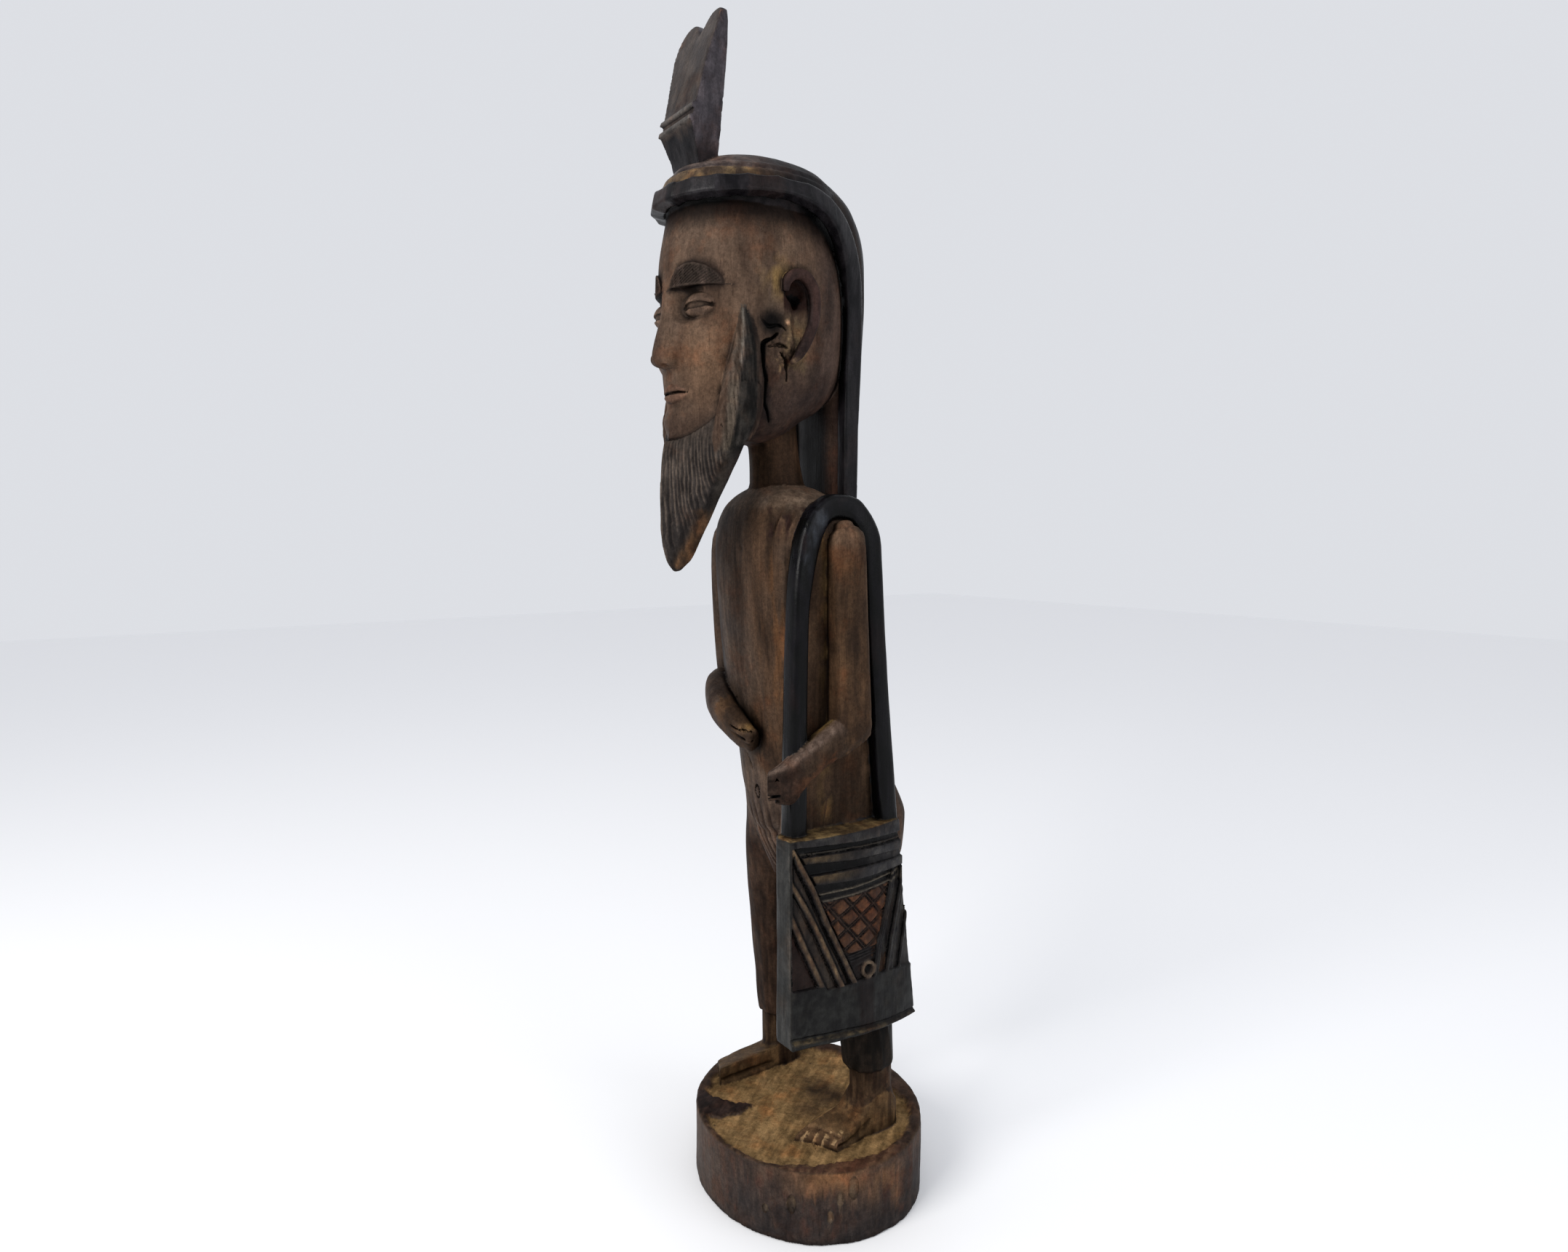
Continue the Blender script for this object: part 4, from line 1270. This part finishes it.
# cap
dome = is_("dome")
paint(dome, (22, 20, 21), (36, 32, 33), hiC)
paint(dome * smooth01(0.10, 0.5, top) * (1 - smooth01(-66, -22, y)) * 0.95, (70, 61, 58), (98, 86, 80), hiD)
paint(dome * (z > 587.5) * (z < 591.2) * smooth01(0.3, 0.7, edge) * (1 - smooth01(-50, -10, y)) * 0.6, (84, 78, 74))
paint(dome * (z > 579.5) * (z < 587.0) * (1 - smooth01(-64, -34, y)) * 0.85, (66, 54, 44), (112, 92, 64), hiD)
ledge_c = dome * (z > 578) * (z < 586) * smooth01(0.6, 0.9, top)
paint(ledge_c * 0.8 * hiC, (84, 66, 46), (118, 96, 60), hiD)
flap = is_("flap")
paint(flap, (30, 26, 25), (46, 39, 35), hiB)
inner = flap * smooth01(0.1, 0.5, front) * (z < 560)
paint(inner * (1 - smooth01(-2, 8, x)), (18, 16, 15), (26, 22, 20), hiB)
paint(inner * smooth01(-2, 8, x) * smooth01(392, 470, 520 - (z - 392) * 0.4), (60, 47, 42), (92, 72, 60), hiB)
paint(flap * smooth01(0.2, 0.6, N[:, 1] + 0.3 * top), (30, 29, 31), (46, 45, 48), hiB)
edge_m = is_("edge")
paint(edge_m, (21, 20, 22), (33, 31, 33), hiC)
th = np.arctan2((x - MID) / CAP_A, -(y - CAP_Y) / CAP_B)
paint(edge_m * (z > 560) * (th > -0.3) * (th < 0.13) * 0.4, (58, 42, 38))
paint(edge_m * (z > 560) * (th > 0.49) * (th < 0.8) * 0.4, (52, 50, 52))
paint(edge_m * (z > 556) * (th > 1.1) * (th < 1.5) * 0.3, (56, 42, 38))
# crest
crest = is_("crest")
paint(crest, (30, 25, 26), (42, 35, 35), hiC)
paint(crest * smooth01(0.4, 0.8, front), (44, 38, 36), (62, 54, 49), hiC)
paint(crest * smooth01(0.35, 0.7, side) * smooth01(594, 602, z) * 0.9, (62, 58, 62), (80, 75, 79), hiC)
paint(crest * smooth01(0.4, 0.8, front) * smooth01(640, 668, z) * 0.6, (66, 58, 54))
band_z = ridge(z - 611.5, 1.6, 0.7) + ridge(z - 617.8, 1.5, 0.7)
paint(crest * band_z * smooth01(0.35, 0.7, front), (60, 57, 55), (84, 79, 75), hiC)
paint(crest * (z < 609) * smooth01(0.3, 0.7, front) * 0.9, (20, 20, 22), (32, 31, 33), hiC)
paint(crest * smooth01(0.5, 0.9, edge) * smooth01(655, 668, z) * 0.7, (120, 84, 66))
# arms
arm = is_("arm", "forearm")
armn = smooth01(-0.3, 0.3, fbm(x / 4.2, y / 4.2, z / 9.0, 209))
paint(arm, (50, 38, 30), (80, 60, 44), 0.5 * hiB + 0.5 * armn)
paint(is_("arm") * (x > 20) * smooth01(380, 396, z) * 0.7, (84, 66, 53), (106, 84, 68), armn)
paint(arm * (x < -20) * 0.75, (48, 40, 36), (66, 56, 50), hiB)
paint(arm * (x > 20) * (z < 290) * (y < -12) * 0.6, (42, 34, 29), (58, 47, 39), hiB)
paint(arm * (x > 20) * (y < -40) * 0.5, (38, 31, 28))
fa_top = is_("forearm") * smooth01(0.35, 0.75, top)
fore_l = is_("forearm") * (x > 20)
paint(fore_l * smooth01(0.15, 0.45, top) * (1 - smooth01(0.75, 0.95, top)) * 0.8, (80, 66, 58), (108, 92, 82), hiC)
paint(fore_l * (1 - smooth01(-0.1, 0.2, top)) * smooth01(0.15, 0.45, hiD) * (y < -20) * 0.5, (88, 56, 38))
hand_l = fore_l * smooth01(274, 264, z) * smooth01(-40, -46, y)
paint(hand_l * (1 - smooth01(0.3, 0.7, top)) * 0.9, (34, 28, 25), (54, 42, 36), hiC)
for zc, q in ((263.4, 1.0), (258.4, 0.75), (254.6, 1.0), (251.4, 0.9)):
    paint(hand_l * np.exp(-((z - zc - 0.10 * (x - 35)) / 0.75) ** 2) * (x < 33.2 + 9.6 * q) * 0.85, (14, 11, 10))
    paint(hand_l * np.exp(-((z - zc - 1.5 - 0.10 * (x - 35)) / 0.6) ** 2) * (x < 33.2 + 8.0 * q) * 0.35, (84, 70, 60))
paint(fa_top * smooth01(-44, -26, y) * (x > 30) * smooth01(47.5, 44.0, x) * 0.85, (82, 66, 44), (124, 100, 60), hiD)
paint(arm * (x < 20) * (y < -34) * (x > -12) * 0.55, (46, 37, 31))
paint(np.exp(-(((x - 3.6) / 2.6) ** 2 + ((z - 286.6) / 2.2) ** 2)) * (y < -42) * 0.9, (124, 96, 60))
# recess between band and arm
rec = is_("pad", "trunk") * (x > 24) * (z < 398) * (z > 232) * (y > -36) * (y < 22)
paint(rec, (54, 41, 32), (78, 60, 46), hiB)
paint(rec * (1 - smooth01(236, 262, z)) * 0.6, (30, 24, 20))
crumb = rec * np.exp(-((y - np.interp(z, [300, 330, 377, 395], [-15, -14.9, -16.7, -20])) / 3.0) ** 2) * smooth01(0.35, 0.75, hiD)
paint(crumb * 0.8, (110, 86, 54))
# shoulder band
band = is_("band")
paint(band, (10, 10, 12), (19, 18, 20), hiC)
paint(band * (z > 300) * smooth01(0.25, 0.5, nB) * 0.35, (40, 28, 26))
for py, pz, pr in ((-22.5, 405.5, 4.2), (-28.8, 396.0, 3.4), (-33.5, 382.0, 2.6)):
    paint(band * np.exp(-(((y - py) / pr) ** 2 + ((z - pz) / (1.6 * pr)) ** 2) ** 1.4) * smooth01(-0.2, 0.2, nD + 0.15) * 0.75, (66, 70, 76))
# bag
bag = is_("bag")
on_face = bag * smooth01(0.35, 0.7, side) * (x > 42)
R = bag_relief(y, z, True)
paint(bag, (30, 29, 30), (46, 44, 44), hiC)
paint(on_face, (34, 31, 32), (48, 45, 44), hiC)
paint(on_face * R["low"], (32, 31, 31), (48, 48, 46), hiD)
paint(on_face * R["plane"] * 0.75, (54, 46, 41), (78, 66, 56), hiC)
paint(on_face * R["grey"], (50, 48, 50), (76, 73, 70), hiD)
paint(on_face * R["tan"], (84, 68, 50), (112, 92, 66), hiD)
paint(on_face * R["rz"] * 0.5 * hiD, (62, 58, 52))
paint(on_face * R["groove"] * 0.85, (16, 14, 15))
paint(on_face * R["net"], (38, 27, 24))
paint(on_face * R["loz"] * 0.95, (82, 54, 40), (112, 74, 50), hiD)
paint(on_face * R["netline"] * 0.6, (84, 66, 54))
paint(on_face * R["pit"] * 0.7, (30, 22, 21))
paint(on_face * R["recess"] * 0.75, (44, 30, 27), (84, 50, 40), smooth01(0.2, 0.5, nB + 0.3 * (z < 154)))
paint(on_face * R["thin"], (118, 108, 92))
paint(on_face * R["beads"] * (0.65 + 0.35 * hiC), (100, 78, 60), (132, 108, 80), hiD)
paint(on_face * R["ring"] * 0.85, (104, 86, 70), (134, 114, 92), hiC)
paint(on_face * R["hole"] * 0.95, (14, 12, 12))
paint(on_face * R["lips"] * (0.9 - 0.5 * smooth01(-20, 30, y)) * (0.4 + 0.6 * hiD), (92, 76, 54), (126, 106, 74), hiD)
strip_m = bag * smooth01(0.5, 0.85, front) * (y < -44)
paint(strip_m, (34, 34, 33), (49, 48, 46), hiC)
paint(on_face * R["front"] * 0.8, (46, 45, 43))
tint[:] = tint * (1 - 0.26 * on_face[:, None])
ledge = bag * smooth01(0.6, 0.9, top) * (z > 226)
paint(ledge, (70, 56, 40), (112, 92, 62), hiD)
paint(bag * smooth01(0.4, 0.8, -top) * 0.9, (26, 23, 22))
# legs, ankles, feet
leg = is_("leg")
paint(leg, (36, 27, 22), (62, 46, 36), hiC)
paint(leg * (x < -20) * 0.5, (48, 37, 31), (70, 55, 46), hiB)
paint(leg * (x > 10) * (1 - smooth01(104, 116, z)) * 0.9, (20, 18, 16), (34, 29, 25), hiC)
paint(leg * smooth01(0.4, 0.8, -top) * 0.9, (28, 21, 18))
paint(is_("ankle"), (44, 33, 26), (66, 51, 38), hiC)
foot_m = is_("foot")
paint(foot_m, (66, 50, 35), (92, 71, 49), hiC)
fy = y - 8.5 * ((x - 39.4) / 11.4) * np.maximum(0, -y) / 28.0
paint(foot_m * (x > 0) * smooth01(-4, -14, y) * 0.75, (84, 65, 46), (112, 86, 60), hiD)
paint(foot_m * (x > 0) * (1 - smooth01(-15.4, -13.6, fy)) * 0.8, (58, 43, 32), (82, 62, 45), hiD)
paint(np.exp(-((fy + 13.6) / 1.1) ** 2) * foot_m * (x > 0) * (np.abs(x - 39) < 12) * 0.25, (130, 104, 76))
paint(foot_m * (x < 0) * smooth01(0.5, 0.9, top) * 0.4, (92, 74, 54))
for (ya, xa), (yb, xb) in (((-22.9, 31.4), (-27.5, 31.5)), ((-20, 36), (-24.2, 37.3)), ((-21.9, 42), (-16.5, 40.6)), ((-9.6, 41.5), (-14, 41.3)), ((-7.8, 46.2), (-11.8, 46.6)), ((-15.2, 47.9), (-19.9, 47.6))):
    t = np.clip(((x - xa) * (xb - xa) + (y - ya) * (yb - ya)) / ((xb - xa) ** 2 + (yb - ya) ** 2), 0, 1)
    paint((np.hypot(x - xa - t * (xb - xa), y - ya - t * (yb - ya)) < 0.55) * (z > 41) * (z < 53) * 0.8, (168, 138, 100))
# base
base = is_("base")
keep = rim_keep(x, y)
base_top = base * smooth01(0.5, 0.85, top) * (z > 36)
base_side = base * (1 - smooth01(0.4, 0.75, top))
fib = fbm((0.82 * x + 0.57 * y) / 2.2, (-0.57 * x + 0.82 * y) / 13.0, 0.0, 211)
hiF = smooth01(-0.3, 0.3, fib)
nG = fbm(x / 5.0, y / 5.0, 0.0, 212)
paint(base_top, (104, 82, 54), (148, 118, 80), 0.6 * hiF + 0.4 * smooth01(-0.3, 0.3, nG))
paint(base_top * smooth01(0.15, 0.5, nG) * 0.4, (112, 82, 52))
paint(base_top * np.exp(-(((x + 3) / 20.0) ** 2 + ((y - 13) / 12.0) ** 2) ** 1.3) * (0.55 + 0.45 * hiF) * 0.9, (42, 34, 28), (66, 52, 38), hiD)
paint(base_top * np.exp(-(((x - 7.0) / 9.0) ** 2 + ((y + 4.0) / 8.0) ** 2) ** 1.2) * 0.7, (58, 45, 34), (80, 62, 45), hiD)
paint(base_top * np.exp(-(((x - 4.8) / 8.0) ** 2 + ((y - 18.6) / 9.0) ** 2) ** 1.2) * 0.8, (52, 40, 31), (74, 57, 41), hiD)
ang = np.degrees(np.arctan2(y, x))
paint(base_top * keep * 0.9, (42, 32, 29), (62, 47, 40), hiD)
paint(base_top * keep * (ang > -50) * (ang < 12) * 0.75, (66, 46, 37), (96, 72, 54), smooth01(-0.1, 0.3, fbm((x + y * 0.5) / 1.6, (y - 0.5 * x) / 12.0, 0.0, 213)))
patch = tongue(x, y)
paint(base_top * patch * 0.92, (32, 25, 23), (50, 38, 34), hiD)
paint(base_top * keep * np.exp(-(((x - 60) / 10.0) ** 2 + ((y + 16) / 12.0) ** 2)) * 0.7, (92, 58, 42))
nE = fbm(x / 11.0, y / 11.0, z / 8.0, 214)
nF = fbm(x / 4.5, y / 4.5, z / 4.0, 215)
low_d = smooth01(34, 14, z + 9.0 * nE)
paint(base_side, (50, 42, 39), (82, 66, 56), smooth01(-0.35, 0.35, nE) * 0.7 + smooth01(-0.3, 0.3, nF) * 0.3)
paint(base_side * smooth01(0.1, 0.45, nF) * 0.45, (74, 46, 38))
paint(base_side * low_d * smooth01(-0.45, 0.1, nE) * 0.85, (34, 32, 33), (50, 46, 45), smooth01(-0.3, 0.3, nF))
orange = np.exp(-((ang + 27.0) / 17.0) ** 2) * smooth01(25, 35, z + 7.0 * nE) + 0.9 * np.exp(-((ang - 2.0) / 9.0) ** 2) * smooth01(8, 20, z) * smooth01(42, 34, z) * smooth01(-0.2, 0.3, nE)
paint(base_side * np.clip(orange, 0, 1) * 0.85, (104, 74, 50), (134, 96, 66), smooth01(-0.3, 0.3, nF))
paint(base_side * smooth01(-70, -95, ang) * 0.5, (84, 72, 64))
paint(base_side * smooth01(0.25, 0.5, nD + 0.35 * edge) * smooth01(36, 42, z) * 0.4, (112, 88, 66))
for cx_, cy_, cz_, w_, h_ in CHIPS:
    rr_ = np.sqrt((((x - cx_) ** 2 + (y - cy_) ** 2) / (w_ + 0.8) ** 2) + ((z - cz_) / (h_ + 0.6)) ** 2) + 0.25 * nD
    paint(base_side * (1 - smooth01(0.8, 1.15, rr_)) * 0.9, (118, 98, 78), (164, 142, 116), hiD)
paint(base * (1 - smooth01(0.5, 3.0, z)) * 0.6, (30, 25, 23))

# dirt in the hollows, wear on the edges
shade(smooth01(0.10, 0.62, hollow) * (1 - 0.7 * base_top) * (1 - 0.45 * rec) * (1 - 0.9 * trunk * smooth01(388, 396, z)) * (1 - 0.8 * inner) * (1 - 0.6 * trunk * (x < 8) * smooth01(286, 300, z) * (1 - smooth01(340, 356, z))), 0.36)
wear = smooth01(0.45, 0.85, edge + 0.5 * nD) * (1 - 0.8 * smooth01(0.1, 0.4, hollow))
dark = 1 - smooth01(36, 70, tint.mean(1))
wear = wear * (0.40 + 0.15 * (1 - dark)) * (1 - 0.75 * edge_m * (z < 556)) * (1 - 0.6 * band) * (1 - 0.5 * on_face)
tint[:] = tint * (1 - wear[:, None]) + (tint * 1.35 + np.array([16.0, 13.0, 10.0])) * wear[:, None]
fine_v = 1 + 0.10 * nC + 0.10 * nD
tint *= fine_v[:, None]

lin = np.clip(tint, 4, 250) / 255.0
lin = np.where(lin <= 0.04045, lin / 12.92, ((lin + 0.055) / 1.055) ** 2.4)
ALBEDO = 0.86
lin = np.maximum(lin - 0.0035, 0.0012) * ALBEDO
gloss = np.clip(edge_m + band + 0.6 * bag + 0.7 * flap + 0.5 * crest + 0.4 * dome, 0, 1) * (1 - 0.7 * wear) * (1 - 0.9 * ledge)
dusty = np.clip(base_top * (1 - keep) + ledge + fa_top * (x > 30) * smooth01(-36, -12, y), 0, 1)


def put(name, *cols):
    a = mesh.color_attributes.new(name, "FLOAT_COLOR", "POINT")
    v = np.zeros((n, 4), np.float32)
    for i, c in enumerate(cols):
        v[:, i] = np.clip(c, 0, 1)
    a.data.foreach_set("color", v.ravel())


put("stain", lin[:, 0], lin[:, 1], lin[:, 2], np.ones(n))
grain_a = 0.40 + 0.45 * trunk + 0.6 * leg + 0.15 * arm + 0.2 * is_("neck") - 0.12 * head + 0.2 * beard - 0.36 * base_side
put("kind", gloss, dusty, base_top, grain_a)
print("masks", round(time.time() - T0, 1))

mesh.polygons.foreach_set("use_smooth", np.ones(len(mesh.polygons), bool))
mesh.update()


# ---------------------------------------------------------------- finish
mat = bpy.data.materials.new("old_carved_wood")
mat.use_nodes = True
nt = mat.node_tree
nt.nodes.clear()


def node(kind, **kw):
    nd = nt.nodes.new(kind)
    for k, v in kw.items():
        setattr(nd, k, v)
    return nd


def feed(sock, v):
    if isinstance(v, bpy.types.NodeSocket):
        nt.links.new(v, sock)
    elif v is not None:
        sock.default_value = v


def math_(op, a, b=None, c=None, clamp=False):
    nd = node("ShaderNodeMath", operation=op, use_clamp=clamp)
    for sk, v in zip(nd.inputs, (a, b, c)):
        feed(sk, v)
    return nd.outputs[0]


def mix(f, a, b):
    nd = node("ShaderNodeMix", data_type="RGBA", blend_type="MIX")
    feed(nd.inputs["Factor"], f)
    feed(nd.inputs[6], a)
    feed(nd.inputs[7], b)
    return nd.outputs[2]


def times(col, v):
    """Colour times a vector or a number."""
    if isinstance(v, tuple):
        nd = node("ShaderNodeVectorMath", operation="MULTIPLY")
        feed(nd.inputs[0], col)
        nd.inputs[1].default_value = v
    else:
        nd = node("ShaderNodeVectorMath", operation="SCALE")
        feed(nd.inputs[0], col)
        feed(nd.inputs["Scale"], v)
    return nd.outputs[0]


def step(v, a, b, lo=0.0, hi=1.0):
    nd = node("ShaderNodeMapRange", interpolation_type="SMOOTHSTEP")
    feed(nd.inputs[0], v)
    nd.inputs[1].default_value, nd.inputs[2].default_value = a, b
    nd.inputs[3].default_value, nd.inputs[4].default_value = lo, hi
    return nd.outputs[0]


coord = node("ShaderNodeTexCoord").outputs["Object"]


def mapped(scale):
    nd = node("ShaderNodeMapping")
    feed(nd.inputs[0], coord)
    nd.inputs["Scale"].default_value = scale
    return nd.outputs[0]


def fibres(angle, length):
    """Coordinates stretched along a direction in the plane of the base."""
    nd = node("ShaderNodeMapping", vector_type="TEXTURE")
    feed(nd.inputs[0], coord)
    nd.inputs["Rotation"].default_value = (0, 0, angle)
    nd.inputs["Scale"].default_value = (1, length, 1)
    return nd.outputs[0]


def tex(scale, detail=4.0, rough=0.55, vec=None, dist=0.0):
    nd = node("ShaderNodeTexNoise")
    feed(nd.inputs["Vector"], vec if vec is not None else coord)
    nd.inputs["Scale"].default_value = scale
    nd.inputs["Detail"].default_value = detail
    nd.inputs["Roughness"].default_value = rough
    nd.inputs["Distortion"].default_value = dist
    return nd.outputs["Fac"]


def attr(name):
    nd = node("ShaderNodeAttribute", attribute_name=name)
    sep = node("ShaderNodeSeparateColor")
    feed(sep.inputs[0], nd.outputs["Color"])
    return nd.outputs["Color"], sep.outputs[0], sep.outputs[1], sep.outputs[2], nd.outputs["Alpha"]


stain = attr("stain")[0]
_, gloss_a, dust_a, top_a, long_a = attr("kind")

grain = tex(300.0, 5.0, 0.62, mapped((1.0, 1.0, 0.06)), 0.15)          # long fibres
streak = tex(85.0, 4.0, 0.6, mapped((1.0, 1.0, 0.09)), 0.3)
pores = tex(1300.0, 2.0, 0.5, mapped((1.0, 1.0, 0.08)))
blotch = tex(48.0, 5.0, 0.62)
speck = tex(430.0, 3.0, 0.65)
fine = tex(1100.0, 2.0, 0.6)
fib_a = tex(260.0, 5.0, 0.66, fibres(0.62, 9.0), 0.2)
fib_b = tex(190.0, 5.0, 0.66, fibres(-0.85, 7.0), 0.2)

vg = node("ShaderNodeMix", data_type="FLOAT")
feed(vg.inputs["Factor"], long_a)
vg.inputs[2].default_value = 1.0
feed(vg.inputs[3], math_("MULTIPLY", step(grain, 0.34, 0.66, 0.76, 1.20), step(streak, 0.34, 0.66, 0.84, 1.14)))
v = math_("MULTIPLY", vg.outputs[0], step(speck, 0.36, 0.64, 0.84, 1.16))
v = math_("MULTIPLY", v, step(fine, 0.35, 0.65, 0.90, 1.10))
vt = math_("MULTIPLY", step(fib_a, 0.36, 0.64, 0.80, 1.18), step(fib_b, 0.36, 0.64, 0.88, 1.12))
vt = math_("MULTIPLY", vt, step(speck, 0.36, 0.64, 0.84, 1.16))
vm = node("ShaderNodeMix", data_type="FLOAT")
feed(vm.inputs["Factor"], top_a)
feed(vm.inputs[2], v)
feed(vm.inputs[3], vt)
col = times(stain, vm.outputs[0])
# the stain is redder and greyer in places
col = mix(step(blotch, 0.50, 0.72, 0.0, 0.7), col, times(col, (1.25, 0.92, 0.76)))
col = mix(step(tex(30.0, 4.0, 0.6), 0.52, 0.74, 0.0, 0.7), col, times(col, (0.86, 0.92, 1.02)))
# open pores and dark specks
col = mix(math_("MULTIPLY", step(pores, 0.58, 0.70), 0.5), col, times(col, (0.45, 0.42, 0.40)))
col = mix(math_("MULTIPLY", step(tex(620.0, 3.0, 0.6), 0.60, 0.72), 0.6), col, times(col, (0.5, 0.46, 0.44)))
# pale scuffs
col = mix(math_("MULTIPLY", step(tex(520.0, 4.0, 0.7, mapped((1.0, 1.0, 0.35))), 0.63, 0.74), 0.5), col, times(col, (1.8, 1.7, 1.55)))

rough_v = step(blotch, 0.35, 0.7, 0.52, 0.70)
rough_v = math_("MULTIPLY_ADD", gloss_a, -0.26, rough_v)
rough_v = math_("MULTIPLY_ADD", dust_a, 0.30, rough_v, True)

bump1 = node("ShaderNodeBump")
bump1.inputs["Strength"].default_value = 0.45
bump1.inputs["Distance"].default_value = 0.0006
bh = node("ShaderNodeMix", data_type="FLOAT")
feed(bh.inputs["Factor"], top_a)
feed(bh.inputs[2], grain)
feed(bh.inputs[3], fib_a)
feed(bump1.inputs["Height"], bh.outputs[0])
bump2 = node("ShaderNodeBump")
bump2.inputs["Strength"].default_value = 0.35
bump2.inputs["Distance"].default_value = 0.0005
feed(bump2.inputs["Height"], math_("ADD", math_("MULTIPLY", speck, math_("MULTIPLY_ADD", dust_a, 1.4, 0.6)), math_("MULTIPLY", pores, 0.5)))
feed(bump2.inputs["Normal"], bump1.outputs[0])

bsdf = node("ShaderNodeBsdfPrincipled")
feed(bsdf.inputs["Base Color"], col)
feed(bsdf.inputs["Roughness"], rough_v)
feed(bsdf.inputs["Normal"], bump2.outputs[0])
feed(bsdf.inputs["Specular IOR Level"], math_("MULTIPLY_ADD", gloss_a, 0.06, 0.045))
outn = node("ShaderNodeOutputMaterial")
feed(outn.inputs[0], bsdf.outputs[0])
mesh.materials.clear()
mesh.materials.append(mat)

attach(figure, "root")
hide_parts("messenger_figure")


# ---------------------------------------------------------------- floor, light and camera
def plain(name, rgb, roughness):
    m = bpy.data.materials.new(name)
    m.use_nodes = True
    b = m.node_tree.nodes["Principled BSDF"]
    b.inputs["Base Color"].default_value = rgb
    b.inputs["Roughness"].default_value = roughness
    return m


fm = bpy.data.meshes.new("floor")
R = 4.0
fm.from_pydata([(-R, -R, 0), (R, -R, 0), (R, R, 0), (-R, R, 0)], [], [(0, 1, 2, 3)])
floor = bpy.data.objects.new("floor", fm)
floor.location.z = -0.0004
bpy.context.scene.collection.objects.link(floor)
fm.materials.append(plain("floor_pale", (0.955, 0.955, 0.96, 1), 0.8))
floor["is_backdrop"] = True

world = bpy.data.worlds.new("studio")
bpy.context.scene.world = world
world.use_nodes = True
world.node_tree.nodes["Background"].inputs[0].default_value = (0.93, 0.95, 1.0, 1)
world.node_tree.nodes["Background"].inputs[1].default_value = 0.78


def area(name, loc, target, size, power, rgb=(1, 1, 1)):
    l = bpy.data.lights.new(name, "AREA")
    l.size = size
    l.energy = power
    l.color = rgb
    o = bpy.data.objects.new(name, l)
    o.location = loc
    o.rotation_mode = "QUATERNION"
    o.rotation_quaternion = (Vector(target) - Vector(loc)).to_track_quat("-Z", "Y")
    bpy.context.scene.collection.objects.link(o)


area("key", (0.20, -1.25, 0.95), (0, 0, 0.35), 0.7, 15.0, (1.0, 0.98, 0.95))
area("fill", (1.3, 0.45, 0.9), (0, 0, 0.3), 1.0, 5.0, (0.95, 0.97, 1.0))

cam = bpy.data.cameras.new("camera")
cam.sensor_fit = "HORIZONTAL"
cam.sensor_width = 36.0
cam.lens = 22.54
cam.clip_start, cam.clip_end = 0.02, 50.0
camera = bpy.data.objects.new("camera", cam)
camera.location = (0.46792, -0.35260, 0.39963)
camera.rotation_mode = "QUATERNION"
camera.rotation_quaternion = Vector((-0.80939, 0.57904, -0.09793)).to_track_quat("-Z", "Y")
bpy.context.scene.collection.objects.link(camera)
bpy.context.scene.camera = camera
bpy.context.scene.view_settings.view_transform = "Standard"

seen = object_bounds()
print("cad", [list(np.round(v, 4)) for v in CAD_BOX], "visual", [list(np.round(v, 4)) for v in seen], round(time.time() - T0, 1))
